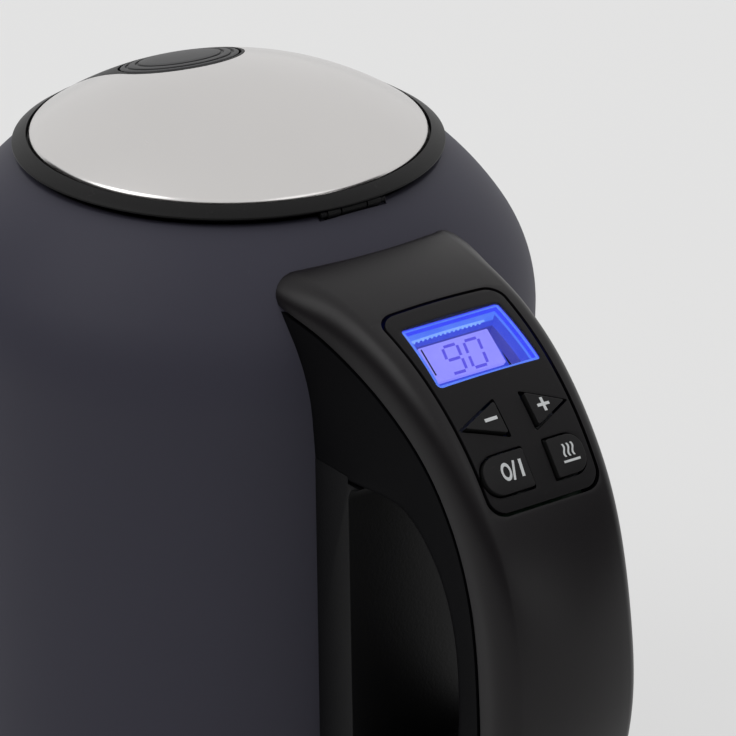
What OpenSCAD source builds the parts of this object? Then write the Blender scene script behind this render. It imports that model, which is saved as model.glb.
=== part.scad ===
// Electric gooseneck kettle on a round power base, with its controls in the handle.
// The kettle's axis is Z, the table is Z = 0, the handle points along +X and the spout along -X.

/* [Kettle body] */
// Height of the lid's steel rim above the table
rim_z = 185; // [184:0.5:186]
// Largest outer radius of the body
belly_r = 75; // [74.5:0.1:75.5]
// Height of the widest place of the body
belly_z = 140; // [139:0.5:141]
// Outer radius at the foot of the body
foot_r = 73.4; // [72.5:0.1:74]
// Height of the foot of the body's skin
foot_z = 24; // [24:0.5:26]
// Thickness of the painted steel skin
skin_t = 1.2; // [0.8:0.1:1.4]
// Distance from the skin's outer face to the inner vessel
double_wall_gap = 5; // [4.5:0.1:5.5]
// Thickness of the inner vessel
vessel_t = 0.8; // [0.6:0.1:1]
// Height of the floor of the inner vessel
floor_z = 45; // [44:0.5:47]

/* [Lid] */
// Radius of the steel dome
dome_r = 48.5; // [48:0.1:48.6]
// Height of the dome above its rim
dome_h = 15; // [14:0.1:16]
// Outer radius of the bevelled ring around the dome
ring_r = 52.6; // [52.4:0.1:52.7]
// Distance of the lid button from the lid's centre
badge_x = 21; // [20:0.5:22]
// Radius of the lid button
badge_r = 14.6; // [14:0.1:14.8]
// Travel of the lid button
badge_travel = 2; // [1.5:0.1:2]
// Inner radius of the mouth
mouth_r = 43; // [43:0.1:43.5]

/* [Spout] */
// Radius of the spout tube at its root
spout_root_r = 9; // [8.5:0.1:9.3]
// Radius of the spout tube above its taper
spout_neck_r = 6; // [5.8:0.1:6.5]
// Wall of the spout tube
spout_t = 0.8; // [0.6:0.1:1]

/* [Handle] */
// Reach of the handle from the kettle's axis
handle_reach = 141; // [140:0.5:142]
// Wall of the handle's shells
shell_t = 2.4; // [2:0.1:2.6]
// Half width of the strip that holds the handle to the body
strip_w = 24.5; // [24:0.1:25]
// Distance of the strip's outer face from the kettle's axis
strip_x = 83.6; // [83:0.1:84]

/* [Controls] */
// Height of the control buttons above the panel
key_proud = 0.9; // [0.7:0.1:1.1]
// Clearance round each control button
key_gap = 0.35; // [0.3:0.05:0.4]
// Half width of the control panel
panel_w = 16.6; // [16.2:0.1:16.8]

/* [Power base] */
// Radius of the power base
base_r = 78; // [77:0.5:79]
// Height of the power base's top face
base_h = 19.7; // [19.5:0.1:19.7]
// Radius of the hole for the mains cord
cord_r = 3.6; // [3.2:0.1:4]

/* [Hidden] */
$fn = 96;

far = 300;      // longer than the whole kettle
cut = 0.5;      // how far a cutting solid runs past a face

// ---- curves ----
function along(a, d) = [d * cos(a), d * sin(a)];
function flip(v) = [for (i = [len(v) - 1:-1:0]) v[i]];
function tail(v) = [for (i = [1:len(v) - 1]) v[i]];
function bezier(p, t) = pow(1 - t, 3) * p[0] + 3 * pow(1 - t, 2) * t * p[1]
    + 3 * (1 - t) * t * t * p[2] + t * t * t * p[3];
function bezier_slope(p, t) = 3 * pow(1 - t, 2) * (p[1] - p[0])
    + 6 * (1 - t) * t * (p[2] - p[1]) + 3 * t * t * (p[3] - p[2]);
function curve(p, n) = [for (i = [0:n]) bezier(p, i / n)];
// moves each point of a curve to its left by d
function beside(v, d) = [for (i = [0:len(v) - 1])
    let (a = v[max(i - 1, 0)], b = v[min(i + 1, len(v) - 1)], w = (b - a) / norm(b - a))
    v[i] + d * [-w[1], w[0]]];

// ---- outline of the body: two arcs make the shoulder, a straight taper the side ----
belly_arc = 39.8;
shoulder_arc = 77.85;
arc_join = 32.8;            // angle at which one arc becomes the other
lip_z = rim_z - 4.85;
belly_c = [belly_r - belly_arc, belly_z];
shoulder_c = belly_c + along(arc_join, belly_arc - shoulder_arc);
function lip_angle(d, z) = asin((z - shoulder_c[1]) / (shoulder_arc - d));
function shoulder(d, z) = let (top = lip_angle(d, z), n = 6, m = 10) concat(
    [for (i = [0:n]) shoulder_c + along(top + (arc_join - top) * i / n, shoulder_arc - d)],
    [for (i = [1:m]) belly_c + along(arc_join - arc_join * i / m, belly_arc - d)]);
function side_r(z, d) = belly_r - d - (belly_z - z) * (belly_r - foot_r) / (belly_z - foot_z);
function body_line(d, top, low) = concat(shoulder(d, top), [[side_r(low, d), low]]);

module turned(points) { rotate_extrude() polygon(points); }
module ring(r_in, r_out, z0, z1) { turned([[r_in, z0], [r_out, z0], [r_out, z1], [r_in, z1]]); }
module body_envelope(d) { turned(concat([[0, lip_z]], body_line(d, lip_z, foot_z), [[0, foot_z]])); }
module beside_y(w) { rotate([90, 0, 0]) linear_extrude(2 * w, center = true) children(); }

// ---- lid ----
ball_r = (dome_r * dome_r + dome_h * dome_h) / (2 * dome_h);
ball_z = rim_z + dome_h - ball_r;
hinge_x = 51;
hinge_z = rim_z - 4.1;
hinge_r = 1.15;
hinge_room = 0.3;           // clearance round the hinge's barrels
pin_r = 0.5;
knuckle_gap = 0.4;
lid_knuckle_w = 3.5;        // half widths along the hinge
fixed_knuckle_w = 7.5;
pin_w = 9.4;
latch_top = rim_z - 9.5;

// ---- spout: a straight root, an elbow, a tapering riser and a bend to its tip ----
spout_start = [-63, 0, 57];
spout_heading = -70;        // turns +Z to the root's direction
spout_root_l = 15;
elbow_bend_r = 24;
riser_heading = -24;        // turns +Z to the riser's direction
riser_l = 70;
tip_bend_r = 16;
tip_heading = -100;
lip_l = 3;
function heading(a) = [sin(a), cos(a)];
elbow_c = [spout_start[0], spout_start[2]] + spout_root_l * heading(spout_heading)
    + elbow_bend_r * heading(spout_heading + 90);
riser_start = elbow_c - elbow_bend_r * heading(riser_heading + 90);
tip_c = riser_start + riser_l * heading(riser_heading) - tip_bend_r * heading(riser_heading + 90);
lip_start = tip_c + tip_bend_r * heading(tip_heading + 90);

// ---- handle ----
handle_top = [[59.6, 172.8], [121, 169.7], [handle_reach, 119], [handle_reach, 86]];
handle_low = [[handle_reach, 86], [handle_reach, 58], [124, 30], [92, 30]];
seam_top = [[58, 164.8], [103, 152.6], [122.3, 144.2], [128, 82]];
seam_low = [[128, 82], [130, 60], [116, 41], [88, 41]];
gap_top = [[strip_x, 128.5], [108.7, 128.7], [117, 108], [117, 80]];
gap_low = [[117, 80], [117, 62], [108, 53], [strip_x, 53]];
strip_top = 128.2;
strip_low = 30;
loom_x = 79.4;              // where the wires go up inside the strip
loom_r = 1.8;
top_curve = curve(handle_top, 24);
outer_curve = concat(top_curve, tail(curve(handle_low, 14)));
seam_curve = concat(curve(seam_top, 18), tail(curve(seam_low, 12)));
gap_curve = concat(curve(gap_top, 10), tail(curve(gap_low, 10)));
// half widths of the handle, seen from above as [x, width] and from the end as [z, width]
plan_w = [[40, 26.5], [60, 26.5], [76, 24.7], [96, 23.4], [104, 22.6], [111, 21.5], [118, 20],
    [125, 18.9], [160, 18.9]];
end_w = [[200, 28], [139, 24], [131, 18.7], [119, 17.5], [107, 16.6], [95, 16], [85, 15.8],
    [60, 16.2], [45, 18], [20, 21]];

// ---- control panel: places along the handle's top curve ----
panel_x0 = 85.2;
panel_x1 = 127.4;
panel_t = 1.6;
window_at = 0.24;
row1_at = 0.397;
row2_at = 0.492;
board_at = 0.45;
display_slope = 38;
display_mid = [94, 158.4];

// ============ power base ============
module base_top_housing() {
    color("#1b1b1d") difference() {
        turned([[19.3, base_h - 2.2], [19.3, base_h], [72, base_h], [base_r - 3, base_h - 0.8],
            [base_r - 1.2, base_h - 3], [base_r, 5], [base_r, 3.6], [base_r - 2, 3.6],
            [base_r - 2, 5], [base_r - 3.2, base_h - 4], [base_r - 5, base_h - 2.2]]);
        at_cord_inlet() cylinder(h = 20, r = 6.6, center = true);
    }
    color("#1b1b1d") for (a = [45:90:315]) rotate(a) translate([52, 0, 4.6]) difference() {
        cylinder(h = base_h - 5.8, r = 3.6, $fn = 32);
        translate([0, 0, -cut]) cylinder(h = 10, r = 1.4, $fn = 32);
    }
}

module base_bottom_cover() {
    color("#161617") difference() {
        translate([0, 0, 2]) union() {
            cylinder(h = 2.4, r = base_r - 2.4);
            cylinder(h = 4, r = 24);
        }
        translate([0, 0, 2 - cut]) cylinder(h = 5, r = 8);
        for (a = [45:90:315]) rotate(a) translate([52, 0, 2 - cut]) {
            cylinder(h = 4, r = 1.7, $fn = 32);
            cylinder(h = 1.4 + cut, r = 3.3, $fn = 32);
        }
        at_cord_inlet() cylinder(h = 20, r = 6.8, center = true);
    }
}

module base_socket() {
    color("#232325") difference() {
        union() {
            turned([[9.6, 6], [24, 6], [24, 10], [19, 12], [19, base_h], [17.2, base_h],
                [17.2, 13.4], [9.6, 13.4]]);
            translate([0, 0, 6]) cylinder(h = 21.4, r = 9.6);
            translate([0, 0, 27.4]) cylinder(h = 1, r1 = 9.6, r2 = 8.6);
        }
        translate([0, 0, 14]) cylinder(h = 20, r = 2.4);
        for (z = [17, 21]) translate([0, 0, z]) ring(8.9, 12, 0, 1.6);
    }
}

module base_contacts() {
    color("#b58a45") {
        for (z = [17, 21]) translate([0, 0, z]) ring(8.9, 9.5, 0, 1.6);
        translate([0, 0, 14]) ring(1.9, 2.4, 0, 6);
    }
}

module base_feet() {
    color("#0f0f10") for (a = [0:90:270]) rotate(a) translate([62, 0, 0]) {
        cylinder(h = 1.3, r = 7, $fn = 48);
        translate([0, 0, 1.3]) cylinder(h = 0.7, r = 6, $fn = 48);
    }
}

module base_screws() {
    color("#8d9096") for (a = [45:90:315]) rotate(a) translate([52, 0, 2]) {
        translate([0, 0, 0.1]) cylinder(h = 1.3, r = 3, $fn = 32);
        translate([0, 0, 1.4]) cylinder(h = 10, r = 1.4, $fn = 32);
    }
}

module at_cord_inlet() { translate([base_r - 4, 0, 10]) rotate([0, 90, 0]) children(); }
module cord_inlet() {
    color("#101011") at_cord_inlet() difference() {
        union() {
            translate([0, 0, -7]) cylinder(h = 4, r = 5.4);
            translate([0, 0, -3]) cylinder(h = 6, r = 6.55);
            translate([0, 0, 3]) cylinder(h = 1.6, r1 = 6.55, r2 = 5.4);
        }
        cylinder(h = 20, r = cord_r, center = true);
    }
}

// ============ coaxial connector under the kettle ============
module kettle_connector() {
    color("#2a2a2c") difference() {
        union() {
            turned([[10, 14], [16.6, 14], [16.6, 24.8], [23.6, 24.8], [23.6, 29], [10, 29]]);
            translate([0, 0, 29]) cylinder(h = 1.6, r = 20);
        }
        for (z = [17, 21]) translate([0, 0, z]) ring(8, 10.6, 0, 1.6);
        translate([0, 0, 28.9]) cylinder(h = 0.4, r = 10);
    }
    color("#2a2a2c") translate([0, 0, 20.5]) cylinder(h = 9, r = 1.5);
}

module connector_contacts() {
    color("#c79a50") {
        for (z = [17, 21]) translate([0, 0, z]) ring(9.9, 10.6, 0, 1.6);
        translate([0, 0, 16]) cylinder(h = 4.5, r = 1.5);
    }
}

// ============ kettle body ============
seat_z = 20;                // underside of the kettle, a hair above the base's top
module body_skin() {
    color("#3f3f48") difference() {
        turned(concat(body_line(0, lip_z, foot_z), flip(body_line(skin_t, lip_z, foot_z))));
        hinge_bar(hinge_r + hinge_room, pin_w + hinge_room);
        translate([hinge_x - 3, -fixed_knuckle_w - hinge_room, rim_z - 5.8])
            cube([3, 2 * (fixed_knuckle_w + hinge_room), 3]);
        at_spout_root() cylinder(h = 30, r = spout_root_r + 0.4);
        at_strip_screws() cylinder(h = 20, r = 1.9, center = true);
        translate([70, 0, 36]) rotate([0, 90, 0]) cylinder(h = 20, r = 4, center = true);
    }
}

module inner_vessel() {
    d = double_wall_gap;
    top = rim_z - 10.4;
    color("#b9bbbe") difference() {
        turned(concat(body_line(d, top, 41), flip(body_line(d + vessel_t, top, 41))));
        at_spout_root() cylinder(h = 30, r = spout_root_r + 0.15, center = true);
    }
}

module hinge_bar(r, w) {
    translate([hinge_x, 0, hinge_z]) rotate([90, 45, 0]) cylinder(h = 2 * w, r = r, center = true);
}
module hinge_block(w0, w1) {
    for (s = [-1, 1]) translate([hinge_x - 2.6, s > 0 ? w0 : -w1, 0]) {
        translate([0, 0, rim_z - 8]) cube([1.5, w1 - w0, 3.6]);
        translate([0, 0, rim_z - 5.1]) cube([2.4, w1 - w0, 0.7]);
    }
}

module neck_collar() {
    color("#18181a") difference() {
        union() {
            turned([[mouth_r, rim_z - 20], [mouth_r + 1.6, rim_z - 20], [46.5, rim_z - 17],
                [46.5, rim_z - 9.2], [50, rim_z - 8.6], [50.2, rim_z - 6.2], [49, rim_z - 5.4],
                [mouth_r + 0.8, rim_z - 5.4], [mouth_r, rim_z - 6.2]]);
            difference() {
                hinge_bar(hinge_r, fixed_knuckle_w);
                hinge_bar(hinge_r + cut, lid_knuckle_w + knuckle_gap);
            }
            hinge_block(lid_knuckle_w + knuckle_gap, fixed_knuckle_w);
        }
        hinge_bar(pin_r + 0.02, pin_w + cut);
        hinge_bar(hinge_r + hinge_room, lid_knuckle_w + knuckle_gap);
        translate([-mouth_r, 0, latch_top - 1.2]) cube([5, 12, 4.4], center = true);
    }
}

module neck_gasket() { color("#6f7175") ring(47, 50.6, rim_z - 10.4, rim_z - 9.2); }

module hinge_pin() { color("#a5a8ad") hinge_bar(pin_r, pin_w); }

module hinge_springs() {
    wire = 0.18;
    color("#9a9da3") for (s = [-1, 1], i = [0:3])
        translate([hinge_x, s * (fixed_knuckle_w + 0.3 + i * 0.42), hinge_z]) rotate([90, 0, 0])
            rotate_extrude($fn = 48) translate([0.75, 0]) circle(r = wire, $fn = 16);
}

module heater_plate() {
    color("#c2c3c5") difference() {
        translate([0, 0, floor_z - 1.2]) cylinder(h = 1.2, r = side_r(floor_z, 0) - 5.9);
        at_probe() cylinder(h = 20, r = 2.5, center = true);
    }
}

module heat_spreader() {
    color("#a9abad") difference() {
        translate([0, 0, floor_z - 4.2]) cylinder(h = 3, r = 58);
        at_probe() cylinder(h = 20, r = 4, center = true);
    }
}

module heating_element() {
    leg_a = 14;             // half of the gap between the element's two ends
    color("#8f7f74") translate([0, 0, floor_z - 7.6]) {
        rotate([0, 0, leg_a]) rotate_extrude(angle = 360 - 2 * leg_a)
            translate([46, 0]) circle(r = 3.4, $fn = 32);
        for (s = [-1, 1]) rotate([0, 0, s * leg_a]) translate([46, 0, -5.5])
            cylinder(h = 5.5, r = 1.6, $fn = 24);
    }
}

module dry_boil_cutout() {
    color("#d8d4c8") for (s = [-1, 1]) translate([0, s * 20, floor_z - 9.2]) {
        cylinder(h = 5, r = 9);
        translate([0, 0, -3]) cylinder(h = 3, r = 6);
    }
}

module at_probe() { translate([-26, 0, floor_z - 2]) children(); }
module temperature_probe() {
    color("#b8babd") at_probe() {
        translate([0, 0, -8]) cylinder(h = 18, r = 2.4, $fn = 48);
        translate([0, 0, 10]) sphere(r = 2.4, $fn = 48);
        translate([0, 0, -8]) cylinder(h = 5.6, r = 3.9, $fn = 48);
    }
}

module kettle_foot() {
    color("#161618") difference() {
        union() {
            turned([[62, seat_z], [70.5, seat_z], [72, seat_z + 1.5], [72, seat_z + 6],
                [24, seat_z + 6], [24, seat_z + 4], [62, seat_z + 4]]);
            ring(24, 27, seat_z + 6, seat_z + 12.5);
            ring(68, side_r(foot_z, skin_t) - 0.1, seat_z + 6, seat_z + 16);
        }
        translate([70, 0, 36]) rotate([0, 90, 0]) cylinder(h = 20, r = 4, center = true);
    }
    color("#161618") ring(20.4, 24, seat_z + 11, seat_z + 12.5);
}

module wiring_loom() {
    from_x = 58;
    from_z = 36;
    color("#7a2e2a") {
        translate([from_x, 0, from_z]) rotate([0, 90, 0]) cylinder(h = loom_x - from_x, r = loom_r, $fn = 32);
        translate([loom_x, 0, from_z]) sphere(r = loom_r, $fn = 32);
        translate([loom_x, 0, from_z]) cylinder(h = 112, r = loom_r, $fn = 32);
    }
}

// ============ spout ============
module at_spout_root() { translate(spout_start) rotate([0, spout_heading, 0]) children(); }

// a tube bent round the middle c, from the angle from_a to to_a in the XZ plane
module bent_tube(c, bend_r, from_a, to_a, r) {
    translate([c[0], 0, c[1]]) rotate([90, 0, 0]) rotate(from_a) rotate_extrude(angle = to_a - from_a)
        translate([bend_r, 0]) difference() {
            circle(r = r, $fn = 64);
            circle(r = r - spout_t, $fn = 64);
        }
}

module spout_root_ring() {
    root_back = 1.75;       // how far the root reaches into the vessel
    color("#c6c8cb") difference() {
        union() {
            difference() {
                at_spout_root() translate([0, 0, 7]) cylinder(h = spout_root_l - 7.5, r1 = 14.5, r2 = 11);
                body_envelope(-0.05);
            }
            at_spout_root() translate([0, 0, -root_back]) cylinder(h = spout_root_l + root_back, r = spout_root_r);
        }
        at_spout_root() cylinder(h = 60, r = spout_root_r - spout_t, center = true);
    }
}

module spout_elbow() {
    color("#b4b6b9") bent_tube(elbow_c, elbow_bend_r, 180 - riser_heading, 180 - spout_heading, spout_root_r);
}

module spout_riser() {
    color("#b4b6b9") translate([riser_start[0], 0, riser_start[1]]) rotate([0, riser_heading, 0]) turned([
        [spout_root_r - spout_t, 0], [spout_root_r, 0], [spout_neck_r, riser_l], [spout_neck_r - spout_t, riser_l]]);
}

module spout_tip() {
    color("#b4b6b9") bent_tube(tip_c, tip_bend_r, -riser_heading, -tip_heading, spout_neck_r);
}

module spout_lip() {
    color("#c6c8cb") translate([lip_start[0], 0, lip_start[1]]) rotate([0, tip_heading, 0]) turned([
        [spout_neck_r - spout_t, 0], [spout_neck_r, 0], [spout_neck_r + 0.6, lip_l - 0.6],
        [spout_neck_r + 0.2, lip_l], [spout_neck_r - spout_t, lip_l]]);
}

module spout_strainer() {
    hole_r = 1.3;
    color("#bfc1c4") at_spout_root() translate([0, 0, -2.4]) difference() {
        union() {
            cylinder(h = 0.6, r = 11);
            translate([0, 0, 0.6]) ring(spout_root_r + 0.05, spout_root_r + 0.7, 0, 3);
        }
        translate([0, 0, -cut]) cylinder(h = 2, r = hole_r, $fn = 24);
        for (a = [0:60:300]) rotate(a) translate([4, 0, -cut]) cylinder(h = 2, r = hole_r, $fn = 24);
        for (a = [0:30:330]) rotate(a) translate([7.4, 0, -cut]) cylinder(h = 2, r = hole_r, $fn = 24);
    }
}

// ============ handle ============
function widths(v, d) = concat([for (p = v) [p[0], p[1] - d]], flip([for (p = v) [p[0], d - p[1]]]));

// the handle's whole outer form with its finger gap, set in by d from every face
module handle_form(d) {
    rim = beside(outer_curve, -d);
    gap = beside(gap_curve, d);
    difference() {
        intersection() {
            beside_y(40) difference() {
                polygon(concat([[50, rim[0][1]]], rim, [[50, rim[len(rim) - 1][1]]]));
                polygon(concat([[70, gap[0][1]]], gap, [[70, gap[len(gap) - 1][1]]]));
            }
            linear_extrude(far) polygon(widths(plan_w, d));
            rotate([90, 0, 90]) linear_extrude(far) polygon([for (p = widths(end_w, d)) [p[1], p[0]]]);
        }
        body_envelope(-d - 0.05);
        strip_space(-d - 0.05);
    }
}
module below_seam() {
    beside_y(50) polygon(concat([[30, seam_top[0][1]]], seam_curve, [[30, seam_low[3][1]]]));
}
module strip_space(d) {
    translate([40, -strip_w + d, strip_low + d - 10])
        cube([strip_x - 40 - d, 2 * strip_w - 2 * d, strip_top - strip_low - 2 * d + 10]);
}

module panel_outline(d, corner = 4) {
    x0 = panel_x0 + d;
    x1 = panel_x1 - d;
    w = panel_w - d;
    linear_extrude(far) union() {
        translate([x0 + corner, -w]) square([x1 - x0 - 2 * corner, 2 * w]);
        translate([x0, -w + corner]) square([x1 - x0, 2 * w - 2 * corner]);
        for (x = [x0 + corner, x1 - corner], y = [corner - w, w - corner])
            translate([x, y]) circle(r = corner, $fn = 48);
    }
}
module below_top(d) {
    line = beside(top_curve, -d);
    beside_y(50) polygon(concat([[50, 0]], line, [[line[len(line) - 1][0], 0]]));
}

screw_z = [62, 104];
module boss(z, x0, x1, r) {
    translate([x0, 0, z]) rotate([0, 90, 0]) cylinder(h = x1 - x0, r = r, $fn = 32);
}

module handle_outer_shell() {
    color("#232325") difference() {
        handle_form(0);
        below_seam();
        difference() {
            handle_form(shell_t);
            for (z = screw_z) boss(z, 110, 150, 3.6);
        }
        difference() { panel_outline(-0.1); below_top(panel_t + 0.05); }
        intersection() { panel_outline(1.4, 0.5); below_top(-1); translate([80, -30, 130]) cube([60, 60, 60]); }
        for (z = screw_z) boss(z, 100, 136, 1.3);
    }
}

module handle_inner_shell() {
    color("#1b1b1d") difference() {
        intersection() { handle_form(0); below_seam(); }
        difference() {
            handle_form(shell_t);
            for (z = screw_z) boss(z, 100, 150, 3.6);
        }
        translate([loom_x, 0, strip_top - 5]) cylinder(h = 12, r = loom_r + 0.3);
        for (z = screw_z) {
            boss(z, 100, 140, 1.7);
            boss(z, 100, 119.2, 3.1);
        }
    }
}

module handle_strip() {
    color("#171719") difference() {
        translate([55, -strip_w, strip_low]) cube([strip_x - 55, 2 * strip_w, strip_top - strip_low]);
        body_envelope(0);
        translate([75.6, -5, strip_low + 3]) cube([6, 10, 200]);
        translate([70, 0, 36]) rotate([0, 90, 0]) cylinder(h = 16, r = 4, center = true);
        at_strip_screws() cylinder(h = 19.4, r = 1.6, center = true);
    }
}

// the strip's screws bear on the inside of the body's skin
module at_strip_screws() {
    y = 11;
    head_r = 2.9;
    for (z = [52, 122], side = [-y, y])
        translate([sqrt(pow(side_r(z - head_r, skin_t), 2) - pow(y + head_r, 2)) - 0.05, side, z])
            rotate([0, 90, 0]) children();
}
module strip_screws() {
    color("#8d9096") at_strip_screws() {
        cylinder(h = 9, r = 1.58, $fn = 32);
        translate([0, 0, -1.4]) cylinder(h = 1.4, r = 2.9, $fn = 32);
    }
}

module shell_screws() {
    color("#8d9096") for (z = screw_z) {
        boss(z, 117.4, 119.2, 2.8);
        boss(z, 119.2, 134.8, 1.28);
    }
}

// ============ controls ============
module on_top(t) {
    p = bezier(handle_top, t);
    v = bezier_slope(handle_top, t);
    translate([p[0], 0, p[1]]) rotate([0, atan2(-v[1], v[0]), 0]) children();
}
// outlines of the four buttons: x runs down the panel, y across it
module triangle_key(d) {
    reach = 4.75;           // half of the upright side
    tip = 10.6;
    inner_r = reach * tip / (reach + sqrt(reach * reach + tip * tip));
    translate([0, inner_r]) scale((inner_r + d) / inner_r)
        polygon([[-reach, -inner_r], [reach, -inner_r], [0, tip - inner_r]]);
}
module round_key(d) {
    half = 4.6 + d;
    translate([-half, -d]) square([2 * half, 6.2 + d]);
    translate([0, 6.2]) circle(r = half, $fn = 64);
}
module key_place(row, side) {
    on_top(row) mirror([0, side > 0 ? 0 : 1, 0]) translate([0, row == row1_at ? 4.1 : 3.6, 0]) children();
}
module key_hole_cuts() {
    for (s = [-1, 1]) {
        key_place(row1_at, s) linear_extrude(30, center = true) triangle_key(key_gap);
        key_place(row2_at, s) linear_extrude(30, center = true) round_key(key_gap);
    }
}
module key(row, side) {
    color("#2a2a2c") key_place(row, side) translate([0, 0, -3]) linear_extrude(3 + key_proud)
        if (row == row1_at) triangle_key(0); else round_key(0);
}
module button_minus() { key(row1_at, -1); }
module button_plus() { key(row1_at, 1); }
module button_power() { key(row2_at, -1); }
module button_keep_warm() { key(row2_at, 1); }

window_l = 18;
window_w = 28.6;
module at_window() { on_top(window_at) children(); }
module control_panel() {
    color("#1f1f21") difference() {
        intersection() { panel_outline(0); below_top(0); }
        below_top(panel_t);
        key_hole_cuts();
        at_window() cube([window_l, window_w, 20], center = true);
    }
}

module display_window() {
    color([0.5, 0.6, 1, 0.5]) intersection() {
        at_window() cube([window_l - 0.1, window_w - 0.1, 20], center = true);
        difference() { below_top(0.2); below_top(1.3); }
    }
}

module display_frame() {
    wall = 1;
    color("#3d52e0") intersection() {
        difference() {
            at_window() translate([0, 0, -3.9]) cube([window_l + 2 * wall, window_w, 5], center = true);
            at_window() translate([0, 0, -3.9]) cube([window_l, window_w - 2 * wall, 9], center = true);
        }
        below_top(panel_t + 0.1);
    }
}

module at_display() { translate([display_mid[0], 0, display_mid[1]]) rotate([0, display_slope, 0]) children(); }
module display_glass() {
    color("#8d8cf5") at_display() translate([0, 0, -1]) cube([15, 25, 2], center = true);
}

module backlight() {
    color("#dfe4ff") at_display() translate([0, 0, -3.2]) cube([13, 24, 2], center = true);
}

module at_board() { on_top(board_at) translate([0, 0, -8.4]) children(); }
module control_board() {
    color("#1f5b3a") at_board() {
        translate([-1, 0, -0.8]) cube([30, 28, 1.6], center = true);
        translate([6, -6, -2.6]) cube([8, 9, 2], center = true);
        translate([-7, 7, -3.1]) cube([7, 5, 3], center = true);
    }
}

module key_membrane() {
    color("#3a3a3d") intersection() {
        union() {
            at_board() translate([0.5, 0, 0.8]) cube([24, 28, 1.6], center = true);
            for (s = [-1, 1], row = [row1_at, row2_at]) key_place(row, s) translate([0, 4, -8])
                cylinder(h = 4, r = 2.4, $fn = 32);
        }
        at_board() translate([0, 0, 10]) cube([60, 60, 20], center = true);
    }
}

// ============ lid ============
module dome_layer(d0, d1) {
    translate([0, 0, ball_z]) difference() {
        sphere(r = ball_r - d0, $fn = 128);
        sphere(r = ball_r - d1, $fn = 128);
    }
}
module tongue_space(d) {
    linear_extrude(far) union() {
        translate([-badge_x, 0]) circle(r = 16 - d);
        polygon([[-badge_x, 16 - d], [-60, 19.6 - d], [-60, d - 19.6], [-badge_x, d - 16]]);
    }
}
module lid_disc(r, z0, z1) { translate([0, 0, z0]) cylinder(h = z1 - z0, r = r); }

module lid_dome() {
    color("#cfccc9") difference() {
        union() {
            intersection() { dome_layer(0, 0.8); lid_disc(dome_r, rim_z - 3, far); }
            ring(dome_r - 0.8, dome_r, rim_z - 2.35, rim_z - 0.6);
        }
        tongue_space(0);
    }
}

module lid_ring() {
    // a bevel, a lip and a dark undercut below it, then the flat web under the dome
    section = [[dome_r + 0.3, rim_z - 0.1], [ring_r, rim_z - 2.5], [ring_r, rim_z - 2.9],
        [ring_r - 2, rim_z - 3.5], [ring_r - 2.2, rim_z - 4.1], [40.4, rim_z - 4.1], [40.4, rim_z - 2.4],
        [dome_r + 0.3, rim_z - 2.4]];
    color("#1d1d1f") difference() {
        union() {
            difference() {
                turned(section);
                hinge_bar(hinge_r + hinge_room, pin_w + hinge_room);
            }
            hinge_bar(hinge_r, lid_knuckle_w);
            translate([hinge_x - 1, -lid_knuckle_w, hinge_z]) cube([1.5, 2 * lid_knuckle_w, hinge_r + 0.6]);
        }
        hinge_bar(pin_r + 0.06, lid_knuckle_w + cut);
    }
}
module at_badge() { translate([-badge_x, 0, 0]) children(); }
module lid_tongue() {
    color("#1a1a1c") difference() {
        intersection() {
            dome_layer(0, 2.2);
            tongue_space(0.15);
            lid_disc(dome_r, rim_z - 2.4, far);
        }
        at_badge() cylinder(h = far, r = badge_r + 0.4);
    }
}

module lid_inner_cover() {
    wall = 1.5;
    low = rim_z - 18;
    color("#1c1c1e") difference() {
        turned([[0, low], [39.4, low], [40, low + 0.8], [41.8, rim_z - 4.1], [41.8 - wall, rim_z - 4.1],
            [40 - wall, low + wall], [0, low + wall]]);
        translate([-40, 0, latch_top - 1.2]) cube([8, 10.8, 3.2], center = true);
    }
}

module lid_seal() {
    color("#9b9da1") turned([[41.75, rim_z - 9.2], [42.3, rim_z - 9.2], [42.7, rim_z - 8.4],
        [42.7, rim_z - 7.8], [42.3, rim_z - 7], [41.75, rim_z - 7]]);
}

module latch_plate() {
    guide_l = 30;
    color("#242426") difference() {
        union() {
            lid_disc(39.4, latch_top + 0.4, latch_top + 2);
            at_badge() ring(6.2, 7.2, latch_top + 2, latch_top + 5);
            for (s = [0, 1]) mirror([0, s, 0]) {
                translate([-36, 5.3, latch_top - 4.2]) cube([guide_l, 1, 4.8]);
                translate([-36, 4.4, latch_top - 4.2]) cube([guide_l, 1.9, 1.2]);
            }
        }
        at_badge() cylinder(h = far, r = 4.2);
    }
}

// the button's stem ends in a cone that wedges the latch back through this slot
module lid_latch() {
    slot_r = 3.6;
    color("#38383b") difference() {
        translate([-mouth_r + 0.5, -5, latch_top - 2.6]) cube([30.5, 10, 2.4]);
        at_badge() for (x = [-3, 0]) translate([x - 0.5, 0, 0]) cylinder(h = far, r = slot_r);
    }
}

module lid_spring() {
    wire = 0.4;
    turns = 7;
    pitch = 2.3;
    color("#a3a6ab") at_badge() for (i = [0:turns - 1])
        translate([0, 0, latch_top + 2.1 + wire + i * pitch])
            rotate_extrude($fn = 64) translate([5.4, 0]) circle(r = wire, $fn = 16);
}

module lid_button() {
    stem_r = 3.2;
    groove = 0.3;           // half width of the two rings cut in the button's face
    color("#4c4c50") difference() {
        intersection() {
            dome_layer(0, 2.6);
            at_badge() translate([0, 0, rim_z]) cylinder(h = 20, r = badge_r);
        }
        difference() {
            for (r = [13.2, 10.4]) at_badge() ring(r - groove, r + groove, 150, far);
            dome_layer(0.5, ball_r - 1);
        }
    }
    color("#4c4c50") at_badge() {
        translate([0, 0, latch_top + 0.2]) cylinder(h = 2, r1 = 1.2, r2 = stem_r);
        translate([0, 0, latch_top + 2.2]) cylinder(h = 17.4, r = stem_r);
    }
}

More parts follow.
